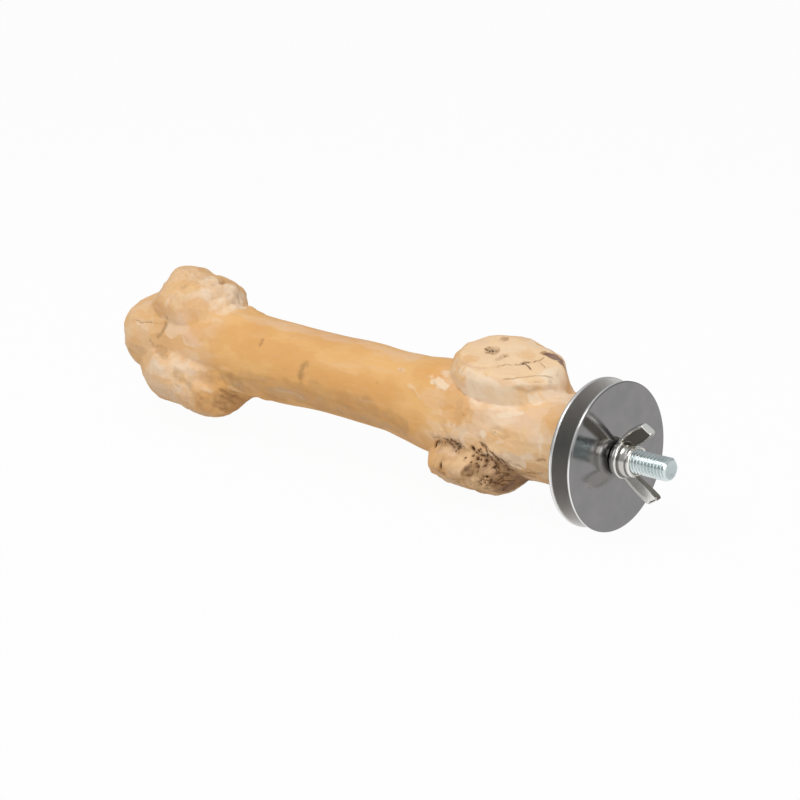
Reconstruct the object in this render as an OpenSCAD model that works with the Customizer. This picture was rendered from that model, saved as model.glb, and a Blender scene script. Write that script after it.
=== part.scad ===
// Hanging bird perch: a natural branch with a hanger bolt in its end, two clamp washers
// and a wing nut. The cage bars go between the two washers.
// The X axis is the bolt's axis and points to its free end, and Z points up.
// The origin is the centre of the inner washer's clamp face.

/* [Branch] */
// Length of the wood from its sawn seat to its rounded far end
branch_len = 175; // [150:1:230]
// Thickness of the bare stem, which the stem's table of shares follows
stem_d = 23; // [19:0.5:28]
// Rise of the stem's middle line above the bolt's axis at the far end
stem_rise = 5; // [0:0.5:10]
// Sideways bow of the stem's middle line
stem_bow = 1.5; // [0:0.5:6]
// Length over which the far end rounds off
nose_len = 12; // [8:1:20]
// Depth of the round edge at the sawn seat
seat_round = 1.2; // [0.5:0.1:3]

/* [Cut stub] */
// Distance of the cut stub's middle from the seat
stub_at = 27.7; // [26:0.1:36]
// Length of the cut stub's foot along the stem
stub_len = 37.5; // [32:0.5:50]
// Height of the cut stub above the stem
stub_h = 10; // [6:0.5:15]
// Direction of the cut stub round the stem, in degrees from +Y towards +Z
stub_dir = 88; // [70:1:110]
// Angle round the stem that the cut stub's foot takes
stub_span = 106; // [90:1:140]
// Height of the stub's sawn face above the bolt's axis
stub_face_h = 20.4; // [17:0.2:26]
// Tilt of the stub's sawn face towards the -Y side
stub_tilt = 15; // [0:1:25]
// Roundness of the sawn face's edge
stub_round = 3; // [1:0.5:5]
// Fall of the stub's sawn face towards the seat
stub_fall = 9; // [0:1:15]

/* [Burl] */
// Distance of the burl's middle from the seat
burl_at = 33.5; // [30:0.5:40]
// Length of the burl's foot along the stem
burl_len = 31.5; // [26:0.5:40]
// Height of the burl above the stem
burl_h = 5.4; // [3:0.1:9]
// Direction of the burl round the stem, in degrees from +Y towards +Z
burl_dir = 242; // [220:1:255]
// Angle round the stem that the burl's foot takes
burl_span = 83; // [70:1:120]
// Lean of the burl's top away from the seat
burl_lean = 2.2; // [0:0.1:4]

/* [End knob] */
// Distance of the upper end knob's middle from the far end
knob_back = 28; // [24:0.5:34]
// Length of the upper end knob's foot along the stem
knob_len = 32.5; // [26:0.5:40]
// Height of the upper end knob above the stem
knob_h = 6.5; // [5:0.1:14]
// Direction of the upper end knob, in degrees from +Y towards +Z
knob_dir = 84; // [70:1:110]
// Angle round the stem that the upper end knob's foot takes
knob_span = 137; // [90:1:150]

/* [End bulge] */
// Distance of the lower end bulge's middle from the far end
bulge_back = 31.5; // [26:0.5:38]
// Length of the lower end bulge's foot along the stem
bulge_len = 46; // [34:1:52]
// Height of the lower end bulge above the stem
bulge_h = 7.8; // [5:0.1:12]
// Direction of the lower end bulge, in degrees from +Y towards +Z
bulge_dir = 244; // [225:1:260]
// Angle round the stem that the lower end bulge's foot takes
bulge_span = 121; // [80:1:130]

/* [Hanger bolt] */
// Outside diameter of the machine thread
bolt_d = 6; // [5:0.5:8]
// Pitch of the machine thread
pitch = 1; // [0.8:0.05:1.25]
// Length of the machine thread, from the seat to the free end
bolt_out = 22.9; // [22:0.1:30]
// Chamfer at the bolt's free end
bolt_chamfer = 0.6; // [0.3:0.1:1]
// Outside diameter of the wood thread
wood_thread_d = 5.8; // [5:0.1:6]
// Core diameter of the wood thread
wood_core_d = 4; // [3.4:0.1:4.4]
// Pitch of the wood thread
wood_pitch = 2.6; // [2.4:0.1:3.2]
// Length of the wood thread, with its point
bolt_in = 26; // [20:0.5:32]
// Length of the point
bolt_point = 4; // [3:0.5:6]
// Diameter of the pilot hole, which the wood thread bites into
pilot_d = 4.6; // [4.5:0.1:4.8]

/* [Washers] */
// Outside diameter of both clamp washers
washer_d = 38; // [30:1:44]
// Thickness of both clamp washers
washer_t = 1; // [0.8:0.1:1.6]
// Hole diameter of both clamp washers
washer_hole_d = 6.4; // [6.3:0.1:6.8]
// Radius of the stamped edge of both washers
washer_round = 0.25; // [0.1:0.05:0.35]
// Gap between the washers, where the cage bars go
bar_gap = 4.8; // [4.4:0.1:6]

/* [Wing nut] */
// Diameter of the nut's hub at its widest
hub_d = 9.8; // [9:0.1:12]
// Diameter of the nut's hub at its top
hub_top_d = 8; // [7.6:0.1:9]
// Height of the nut's hub
hub_h = 5.9; // [5:0.1:7]
// Distance from tip to tip of the wings
wing_span = 21.4; // [20:0.2:26]
// Reach of the wings along the bolt, from the nut's base
wing_reach = 11.5; // [10:0.1:14]
// Thickness of the wings at their tips
wing_tip_t = 2.2; // [1.6:0.1:2.8]
// Thickness of the wings at their roots
wing_root_t = 1.7; // [1.2:0.1:2.2]
// Turn of the wings from upright
wing_turn = 11; // [0:1:45]

/* [Hidden] */

// Running gap between loose faces
play = 0.1;
// Radial clearance of the nut on its thread
thread_play = 0.05;
// Overrun of every cut
over = 0.5;

// A metric thread's depth, crest and flank as shares of its pitch
thread_depth_share = 0.6134;
crest_share = 0.125;
flank_share = 0.354;
// The wood thread's crest and flank as shares of its pitch
wood_crest_share = 0.1;
wood_flank_share = 0.2;

seat_x = -washer_t - play;
stem_r = stem_d / 2;
nut_x = bar_gap + washer_t + play;
tip_x = seat_x + bolt_out;

// Stem stations: place along the wood, radius, rise and bow, all as shares
stem_shares = [
    [0.00, 1.14, 0.31, 0.0],
    [0.08, 1.03, 0.28, 0.0],
    [0.18, 1.13, 0.28, 0.1],
    [0.28, 1.09, 0.43, 0.3],
    [0.38, 0.96, 0.72, 0.5],
    [0.45, 0.96, 0.86, 0.7],
    [0.53, 0.95, 0.90, 0.9],
    [0.65, 0.99, 0.91, 1.0],
    [0.78, 1.11, 0.90, 0.8],
    [0.87, 1.08, 1.15, 0.5],
    [1.00, 1.07, 0.71, 0.2]
];

// Small swellings: place along the wood, direction, length, angle taken and height;
// the lengths and heights are shares of the stem's thickness
swell_shares = [
    [0.61, 206, 1.66, 126, 0.02],
    [0.24, 101, 1.56, 136, 0.04],
    [0.24, 10, 1.5, 100, 0.04],
    [0.46, 25, 0.6, 50, 0.03],
    [0.87, 88, 0.46, 59, 0.07],
    [0.91, 258, 0.86, 64, 0.036],
    [0.88, 10, 1.3, 110, 0.06],
    [0.10, 237, 1.0, 69, 0.02],
    [0.77, 83, 0.44, 57, 0.015],
    [0.12, 67, 0.78, 62, -0.02]
];

// Rings along the wood and sides round it
rings = 84;
nose_rings = 8;
sides = 42;

// How oval the stem is, and the direction of its wide side
oval_share = 0.02;
oval_dir = 40;

// Power of the far end's rounding
nose_power = 2.25;

// A smooth curve through a table's rows: its value in column c at place s
function slope(rows, k, c) =
    let (a = max(k - 1, 0), b = min(k + 1, len(rows) - 1))
    (rows[b][c] - rows[a][c]) / (rows[b][0] - rows[a][0]);
function seg(rows, s, k = 0) =
    k >= len(rows) - 2 || s < rows[k + 1][0] ? k : seg(rows, s, k + 1);
function curve(rows, s, c) =
    let (k = seg(rows, s), w = rows[k + 1][0] - rows[k][0], t = (s - rows[k][0]) / w)
    (2 * t^3 - 3 * t^2 + 1) * rows[k][c] + (t^3 - 2 * t^2 + t) * w * slope(rows, k, c)
    + (3 * t^2 - 2 * t^3) * rows[k + 1][c] + (t^3 - t^2) * w * slope(rows, k + 1, c);

// A rounded lump on a surface: 1 in its middle and 0 past its foot
function turn(a) = a - 360 * round(a / 360);
function lump(s, a, at, long, dir, span, flat) =
    let (q = norm([(s - at) / (long / 2), turn(a - dir) / (span / 2)]),
         v = max(0, 1 - q^flat))
    v * v * (3 - 2 * v);

// The four great lumps at distance s from the seat and direction a, from round to steep-sided
function stub(s, a) = lump(s, a, stub_at, stub_len, stub_dir, stub_span, 3);
function knob(s, a) = lump(s, a, branch_len - knob_back, knob_len, knob_dir, knob_span, 2.6);
function bulge(s, a) =
    lump(s, a, branch_len - bulge_back, bulge_len, bulge_dir, bulge_span, 2.6);
function burl(s, a) = lump(s, a, burl_at, burl_len, burl_dir, burl_span, 5);
function swells(s, a, k = 0) =
    k == len(swell_shares) ? 0
    : let (r = swell_shares[k])
      stem_d * r[4] * lump(s, a, branch_len * r[0], stem_d * r[2], r[1], r[3], 2)
      + swells(s, a, k + 1);

// Least sine that the sawn face is worked out for, so that it stays in front of the axis
least_sine = 0.1;

// The lesser of two radii, with the corner between them rounded over w
function soft_min(a, b, w) =
    let (h = min(1, max(0, (1 + (b - a) / w) / 2)))
    b + (a - b) * h - w * h * (1 - h);

// The far end and the seat's edge draw the radius in
function nose(s) =
    let (t = max(0, (s - branch_len + nose_len) / nose_len))
    (1 - min(1, t)^nose_power)^(1 / nose_power);
function seat_edge(s) =
    s >= seat_round ? 0
    : seat_round - sqrt(seat_round^2 - (seat_round - s)^2);

function wood_r(s, a) =
    let (u = s / branch_len,
         bare = stem_r * curve(stem_shares, u, 1) * (1 + oval_share * cos(2 * (a - oval_dir)))
             + stub_h * stub(s, a) + burl_h * burl(s, a) + knob_h * knob(s, a)
             + bulge_h * bulge(s, a) + swells(s, a),
         top = stub_face_h + (s - stub_at) * tan(stub_fall),
         up = sin(a - stub_tilt),
         face = ((top - wood_z(s)) * cos(stub_tilt) + wood_y(s) * sin(stub_tilt)) / max(up, least_sine),
         cut = stub(s, a) > 0 ? soft_min(bare, face, stub_round) : bare)
    (cut - seat_edge(s)) * nose(s);
function wood_y(s) = -stem_bow * curve(stem_shares, s / branch_len, 3);
function wood_z(s) = stem_rise * curve(stem_shares, s / branch_len, 2);
function wood_at(s, a) =
    let (r = wood_r(s, a))
    [seat_x - s - burl_lean * burl(s, a), wood_y(s) + r * cos(a), wood_z(s) + r * sin(a)];

// Ring places: even along the stem and closer together round the nose
ring_places = concat(
    [0, seat_round / 3],
    [for (i = [0 : rings - nose_rings - 1])
        seat_round + (branch_len - nose_len - seat_round) * i / (rings - nose_rings)],
    [for (i = [0 : nose_rings - 1]) branch_len - nose_len + nose_len * sin(90 * i / nose_rings)]
);

// Faces of a tube of rings, closed by a flat first ring and a middle point after the last
function skin(rows, cols) = concat(
    [[for (j = [0 : cols - 1]) j]],
    [for (i = [0 : rows - 2], j = [0 : cols - 1], h = [0, 1])
        let (a = i * cols + j, b = i * cols + (j + 1) % cols)
        h == 0 ? [a, a + cols, b + cols] : [a, b + cols, b]],
    [for (j = [0 : cols - 1])
        [(rows - 1) * cols + j, rows * cols, (rows - 1) * cols + (j + 1) % cols]]
);

// Turns a solid that stands along Z so that it lies along X
module lay() {
    rotate([0, 90, 0])
        children();
}

module branch() {
    color("burlywood")
        difference() {
            polyhedron(
                points = concat(
                    [for (s = ring_places, j = [0 : sides - 1]) wood_at(s, 360 * j / sides)],
                    [[seat_x - branch_len, wood_y(branch_len), wood_z(branch_len)]]
                ),
                faces = skin(len(ring_places), sides),
                convexity = 6
            );
            translate([seat_x - bolt_in - play, 0, 0])
                lay()
                    cylinder(h = bolt_in + play + over, d = pilot_d, $fn = 48);
        }
}

// Outline of a thread's ridges from place x0 to x1: crest, flank, root and flank, as
// shares of the pitch
function ridges(x0, x1, step, crest_r, root_r, crest, flank) =
    [for (k = [0 : floor((x1 - x0) / step) - 1],
          p = [[crest_r, 0], [crest_r, crest], [root_r, crest + flank], [root_r, 1 - flank]])
        [p[0], x0 + (k + p[1]) * step]];

module hanger_bolt() {
    point_x = seat_x - bolt_in;
    color("gainsboro")
        lay()
            rotate_extrude($fn = 64)
                polygon(concat(
                    [[0, point_x]],
                    ridges(point_x + bolt_point, seat_x - play, wood_pitch, wood_thread_d / 2,
                           wood_core_d / 2, wood_crest_share, wood_flank_share),
                    [[wood_core_d / 2, seat_x - play], [bolt_d / 2, seat_x - play]],
                    ridges(seat_x, tip_x - bolt_chamfer, pitch, bolt_d / 2,
                           bolt_d / 2 - thread_depth_share * pitch, crest_share, flank_share),
                    [[bolt_d / 2, tip_x - bolt_chamfer], [bolt_d / 2 - bolt_chamfer, tip_x],
                     [0, tip_x]]
                ));
}

// A flat round washer with rounded edges, its flat faces at x and x + washer_t
module washer(x) {
    difference() {
        translate([x, 0, 0])
            lay()
                rotate_extrude($fn = 96)
                    polygon(concat(
                        [[0, 0]],
                        [for (a = [-90 : 30 : 0])
                            [washer_d / 2 - washer_round + washer_round * cos(a),
                             washer_round + washer_round * sin(a)]],
                        [for (a = [0 : 30 : 90])
                            [washer_d / 2 - washer_round + washer_round * cos(a),
                             washer_t - washer_round + washer_round * sin(a)]],
                        [[0, washer_t]]
                    ));
        translate([x - over, 0, 0])
            lay()
                cylinder(h = washer_t + 2 * over, d = washer_hole_d, $fn = 48);
    }
}

module inner_washer() {
    color("silver")
        washer(-washer_t);
}

module outer_washer() {
    color("silver")
        washer(bar_gap);
}

// Outline of the nut's hub: share of its radius, and share of its height
hub_shares = [[0.84, 0], [1, 0.25], [1, 0.45]];
// The same at its top, as shares of the top's radius
hub_top_shares = [[1, 0.9], [0.88, 1]];

// Wing stations from root to tip. Each has the outer edge's place along the reach and its
// share of the half span, the same for the inner edge, and the thickness as a share from
// root (0) to tip (1).
wing_shares = [
    [0.00, 0.31, 0.40, 0.31, 0.4],
    [0.05, 0.43, 0.47, 0.37, 0.0],
    [0.14, 0.54, 0.58, 0.45, 0.1],
    [0.26, 0.67, 0.70, 0.53, 0.3],
    [0.40, 0.80, 0.82, 0.62, 0.6],
    [0.54, 0.90, 0.92, 0.71, 0.9],
    [0.66, 0.97, 0.98, 0.77, 1.0],
    [0.74, 1.00, 1.00, 0.82, 0.8]
];
wing_sides = 16;
// Share of the thickness that the dished faces lose
wing_dish_share = 0.3;
// Place of the wing's closing point, as shares of the reach and the half span
wing_end_share = [0.88, 0.95];

module wing() {
    half = wing_span / 2;
    rows = len(wing_shares);
    polyhedron(
        points = concat(
            [for (w = wing_shares, j = [0 : wing_sides - 1])
                let (a = 360 * j / wing_sides,
                     t = wing_root_t + (wing_tip_t - wing_root_t) * w[4],
                     c = cos(a), s = sin(a),
                     wide = (1 + sign(c) * sqrt(abs(c))) / 2,
                     deep = sign(s) * sqrt(abs(s)) * (1 - wing_dish_share * (1 - c^4)))
                [nut_x + wing_reach * (w[0] + (w[2] - w[0]) * wide), deep * t / 2,
                 half * (w[1] + (w[3] - w[1]) * wide)]],
            [[nut_x + wing_reach * wing_end_share[0], 0, half * wing_end_share[1]]]
        ),
        faces = skin(rows, wing_sides),
        convexity = 4
    );
}

module wing_nut() {
    color("lightgray")
        difference() {
            union() {
                translate([nut_x, 0, 0])
                    lay()
                        rotate_extrude($fn = 64)
                            polygon(concat(
                                [[0, 0]],
                                [for (p = hub_shares) [p[0] * hub_d / 2, p[1] * hub_h]],
                                [for (p = hub_top_shares) [p[0] * hub_top_d / 2, p[1] * hub_h]],
                                [[0, hub_h]]
                            ));
                for (side = [0, 180])
                    rotate([side + wing_turn, 0, 0])
                        wing();
            }
            translate([nut_x - over, 0, 0])
                lay()
                    cylinder(h = hub_h + 2 * over, r = bolt_d / 2 + thread_play, $fn = 64);
        }
}

branch();
hanger_bolt();
inner_washer();
outer_washer();
wing_nut();
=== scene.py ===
"""Looks of a natural wood bird perch.

A debarked branch with knobs carries a hanger bolt, two round clamp washers and a wing nut.
Lengths in the classes are millimetres in the row's frame: X is the bolt's axis and Z is up.
Meshes are written in metres.
"""

import logging
from dataclasses import dataclass, field
from enum import Enum
from typing import Any

import bpy
import numpy as np
from mathutils import Matrix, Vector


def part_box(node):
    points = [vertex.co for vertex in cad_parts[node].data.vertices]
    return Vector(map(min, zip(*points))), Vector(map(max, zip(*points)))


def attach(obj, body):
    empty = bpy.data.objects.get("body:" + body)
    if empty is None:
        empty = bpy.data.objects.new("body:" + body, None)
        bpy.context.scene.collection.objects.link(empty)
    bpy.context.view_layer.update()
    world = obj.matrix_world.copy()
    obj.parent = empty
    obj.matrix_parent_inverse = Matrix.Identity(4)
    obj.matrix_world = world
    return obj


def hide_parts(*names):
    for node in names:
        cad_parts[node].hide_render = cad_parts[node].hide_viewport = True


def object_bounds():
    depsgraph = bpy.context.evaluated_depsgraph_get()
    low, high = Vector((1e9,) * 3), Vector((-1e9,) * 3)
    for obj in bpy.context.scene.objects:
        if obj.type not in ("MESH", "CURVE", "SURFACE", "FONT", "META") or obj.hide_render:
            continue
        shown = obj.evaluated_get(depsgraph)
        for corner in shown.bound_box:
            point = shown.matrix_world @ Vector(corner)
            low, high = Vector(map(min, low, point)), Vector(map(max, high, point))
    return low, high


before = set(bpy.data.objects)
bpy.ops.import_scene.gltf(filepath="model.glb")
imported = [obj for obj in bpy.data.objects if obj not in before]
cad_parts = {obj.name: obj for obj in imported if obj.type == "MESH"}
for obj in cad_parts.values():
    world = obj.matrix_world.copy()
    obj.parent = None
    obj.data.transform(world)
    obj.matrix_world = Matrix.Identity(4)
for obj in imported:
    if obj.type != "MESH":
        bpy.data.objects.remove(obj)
CAD_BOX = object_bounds()

LOG = logging.getLogger("perch")
MM = 0.001

Array = np.ndarray
Place = tuple[float, float]


def linear(code: str) -> tuple[float, float, float, float]:
    """Turns an sRGB hex colour into linear light.

    Args:
        code: six hex digits.

    Returns:
        Red, green, blue and alpha in linear light.
    """
    c = np.array([int(code[k : k + 2], 16) for k in (0, 2, 4)]) / 255
    low, high = c / 12.92, ((c + 0.055) / 1.055) ** 2.4
    return (*np.where(c <= 0.04045, low, high).tolist(), 1.0)


def add(tree: bpy.types.NodeTree, kind: str, settings: dict[str, Any] | None = None,
        **sockets: Any) -> bpy.types.Node:
    """Adds a node with its settings and links.

    Args:
        tree: the material's or world's node tree.
        kind: the node's type name.
        settings: the node's own properties.
        **sockets: inputs by name, with _ for a space, or i0, i1 and so on by number. A
            value that is an output socket is linked, and any other is set.

    Returns:
        The new node.
    """
    made = tree.nodes.new(kind)
    for name, value in (settings or {}).items():
        setattr(made, name, value)
    for name, value in sockets.items():
        number = name[0] == "i" and name[1:].isdigit()
        socket = made.inputs[int(name[1:]) if number else name.replace("_", " ")]
        if isinstance(value, bpy.types.NodeSocket):
            tree.links.new(value, socket)
        else:
            socket.default_value = value
    return made


def fresh(name: str) -> tuple[bpy.types.Material, bpy.types.NodeTree]:
    """Makes a material with an empty node tree, and returns both."""
    mat = bpy.data.materials.new(name)
    mat.use_nodes = True
    mat.node_tree.nodes.clear()
    return mat, mat.node_tree


def smooth(t: Array) -> Array:
    """Returns the soft step 3t^2 - 2t^3 of t held to 0..1."""
    t = np.clip(t, 0, 1)
    return t * t * (3 - 2 * t)


def through(rows: Array, s: Array, column: int) -> Array:
    """Reads a smooth curve through a table.

    Between two rows the curve is the cubic with the rows' values and with slopes taken
    from the rows on either side.

    Args:
        rows: the table, whose first column is the place and rises.
        s: places to read at.
        column: the column to read.

    Returns:
        The values at s.
    """
    x, y = rows[:, 0], rows[:, column]
    last = len(x) - 1
    before = np.maximum(np.arange(last + 1) - 1, 0)
    after = np.minimum(np.arange(last + 1) + 1, last)
    slope = (y[after] - y[before]) / (x[after] - x[before])
    k = np.clip(np.searchsorted(x, s, side="right") - 1, 0, last - 1)
    w = x[k + 1] - x[k]
    t = (s - x[k]) / w
    return ((2 * t**3 - 3 * t**2 + 1) * y[k] + (t**3 - 2 * t**2 + t) * w * slope[k]
            + (3 * t**2 - 2 * t**3) * y[k + 1] + (t**3 - t**2) * w * slope[k + 1])


class Unevenness:
    """Smooth random heights in space: random numbers on a cubic lattice, softly blended."""

    CELLS = 32
    # How far each layer is moved off the one before, so that their lattices don't line up
    SHIFT = 7.3

    def __init__(self, seed: int) -> None:
        """Draws the lattice's numbers, from -1 to 1, from a fixed seed."""
        self.lattice = np.random.default_rng(seed).uniform(-1, 1, (self.CELLS,) * 3)

    def at(self, points: Array, size: float) -> Array:
        """Reads one layer.

        Args:
            points: places in mm, with x, y and z last.
            size: spacing of the lattice in mm.

        Returns:
            Heights from -1 to 1.
        """
        q = points / size
        low = np.floor(q).astype(int)
        f = smooth(q - low)
        total = np.zeros(points.shape[:-1])
        for corner in np.ndindex(2, 2, 2):
            c = np.array(corner)
            share = np.prod(np.where(c == 1, f, 1 - f), axis=-1)
            i = (low + c) % self.CELLS
            total += share * self.lattice[i[..., 0], i[..., 1], i[..., 2]]
        return total

    def layers(self, points: Array, size: float, count: int) -> Array:
        """Adds layers, each half the size and height of the one before."""
        return sum(self.at(points + self.SHIFT * k, size / 2**k) / 2**k for k in range(count))


@dataclass
class Shell:
    """Surfaces gathered into one mesh, each closed and facing outwards."""

    points: list[Array] = field(default_factory=list)
    quads: list[Array] = field(default_factory=list)
    tris: list[Array] = field(default_factory=list)
    count: int = 0

    def tube(self, rings: Array, ends: tuple[Array | None, Array | None] = (None, None),
             loop: bool = False) -> None:
        """Adds a surface from rings of points, closed round each ring.

        Args:
            rings: points as rings, points round a ring, and x, y, z.
            ends: the middle point that closes the first and the last ring.
            loop: whether the last ring joins the first.
        """
        n, m = rings.shape[:2]
        j = np.arange(m)
        k = (j + 1) % m
        i = np.arange(n if loop else n - 1)[:, None]
        a, b = i * m, ((i + 1) % n) * m
        quads = np.stack([a + j, a + k, b + k, b + j], -1).reshape(-1, 4)
        points = [rings.reshape(-1, 3)]
        tris = []
        for end, row in zip(ends, (0, n - 1)):
            if end is not None:
                middle = np.full(m, n * m + len(points) - 1)
                side = (j, k) if row else (k, j)
                tris.append(np.stack([middle, row * m + side[0], row * m + side[1]], -1))
                points.append(np.asarray(end, float)[None])
        tris = np.concatenate(tris) if tris else np.zeros((0, 3), int)
        p = np.concatenate(points)
        every = np.concatenate([quads[:, :3], quads[:, [0, 2, 3]], tris])
        c = p[every] - p.mean(0)
        if np.einsum("ij,ij->i", c[:, 0], np.cross(c[:, 1], c[:, 2])).sum() < 0:
            quads, tris = quads[:, ::-1], tris[:, ::-1]
        self.quads.append(quads + self.count)
        self.tris.append(tris + self.count)
        self.points.append(p)
        self.count += len(p)

    def mesh(self, name: str) -> bpy.types.Object:
        """Makes the Blender object, in metres and smooth shaded.

        Args:
            name: the object's name.

        Returns:
            The object, linked to the scene.
        """
        made = bpy.data.meshes.new(name)
        points, quads, tris = map(np.concatenate, (self.points, self.quads, self.tris))
        corners = np.concatenate([quads.ravel(), tris.ravel()])
        sizes = np.concatenate([np.full(len(quads), 4), np.full(len(tris), 3)])
        made.vertices.add(len(points))
        made.vertices.foreach_set("co", (points * MM).astype(np.float32).ravel())
        made.loops.add(len(corners))
        made.loops.foreach_set("vertex_index", corners.astype(np.int32))
        made.polygons.add(len(sizes))
        starts = np.concatenate([[0], np.cumsum(sizes)[:-1]])
        made.polygons.foreach_set("loop_start", starts.astype(np.int32))
        made.update(calc_edges=True)
        made.validate()
        made.shade_smooth()
        obj = bpy.data.objects.new(name, made)
        bpy.context.scene.collection.objects.link(obj)
        return obj


def spaced(places: Array, dense: Array, count: int) -> Array:
    """Picks places whose spacing is the smaller the denser they are asked for.

    The running sum of the density is read back at even steps.

    Args:
        places: rising places.
        dense: the density wanted at each.
        count: how many places to pick, both ends included.

    Returns:
        The places picked.
    """
    steps = (dense[1:] + dense[:-1]) / 2 * np.diff(places)
    total = np.concatenate([[0], np.cumsum(steps)])
    return np.interp(np.linspace(0, total[-1], count), total, places)


def turned(profile: Array, angles: Array) -> Array:
    """Turns a profile about the X axis: each (x, r) becomes a ring of radius r at x.

    Args:
        profile: rows of x and r.
        angles: directions of a ring's points, in degrees.

    Returns:
        Rings for Shell.tube.
    """
    a = np.radians(angles)[None]
    x, r = profile[:, 0, None], profile[:, 1, None]
    return np.stack(np.broadcast_arrays(x, r * np.cos(a), r * np.sin(a)), -1)


def round_about(sides: int) -> Array:
    """Returns even directions round a circle, in degrees."""
    return np.arange(sides) * 360 / sides


class Tone(Enum):
    """Shares from 0 to 1 that the branch's mesh carries for its material, by name."""

    STAIN = "stain"
    PALE = "pale"
    PINK = "pink"
    HONEY = "honey"
    UMBER = "umber"
    BARK = "bark"
    SAWN = "sawn"
    KNOTTY = "knotty"
    PITTED = "pitted"
    LIGHT = "light"
    CHIP = "chip"
    CRACK = "crack"
    # The distance from a crack, scaled to one crack width, with a sign for the side
    GAP = "crack_gap"


@dataclass(frozen=True)
class Patch:
    """A soft-edged oval of one tone: long along the branch, wide round it, in mm."""

    tone: Tone
    at: Place
    long: float
    wide: float
    strength: float
    lean: float = 0.0

    @classmethod
    def rows(cls, tone: Tone, *rows: tuple[float, ...]) -> "tuple[Patch, ...]":
        """Makes patches from rows of s, a, long, wide, strength and maybe lean."""
        return tuple(cls(tone, row[:2], *row[2:]) for row in rows)


@dataclass(frozen=True)
class Crease:
    """A crack or, with a depth below zero, a ridge along a line of places, in mm."""

    tone: Tone
    width: float
    depth: float
    strength: float
    path: tuple[Place, ...]

    @classmethod
    def rows(cls, tone: Tone, *rows: tuple[Any, ...]) -> "tuple[Crease, ...]":
        """Makes creases from rows of width, depth, strength and the line's places."""
        return tuple(cls(tone, *row[:3], row[3:]) for row in rows)


@dataclass(frozen=True)
class Dent:
    """A round hollow or, with a depth below zero, a bump, in mm."""

    at: Place
    radius: float
    depth: float
    strength: float = 0.0
    rim: float = 0.0

    @classmethod
    def rows(cls, *rows: tuple[float, ...]) -> "tuple[Dent, ...]":
        """Makes dents from rows of s, a, radius, depth and maybe strength and rim."""
        return tuple(cls(row[:2], *row[2:]) for row in rows)


@dataclass(frozen=True)
class Crumble:
    """A field of small hollows scattered round a place, in mm and degrees."""

    at: Place
    spread: Place
    count: int
    radius: tuple[float, float]
    depth: float
    strength: float


@dataclass(frozen=True)
class Nodules:
    """A field of rounded grains round a place, with creases between them."""

    at: Place
    spread: Place
    count: int
    size: float
    height: float
    strength: float


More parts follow.
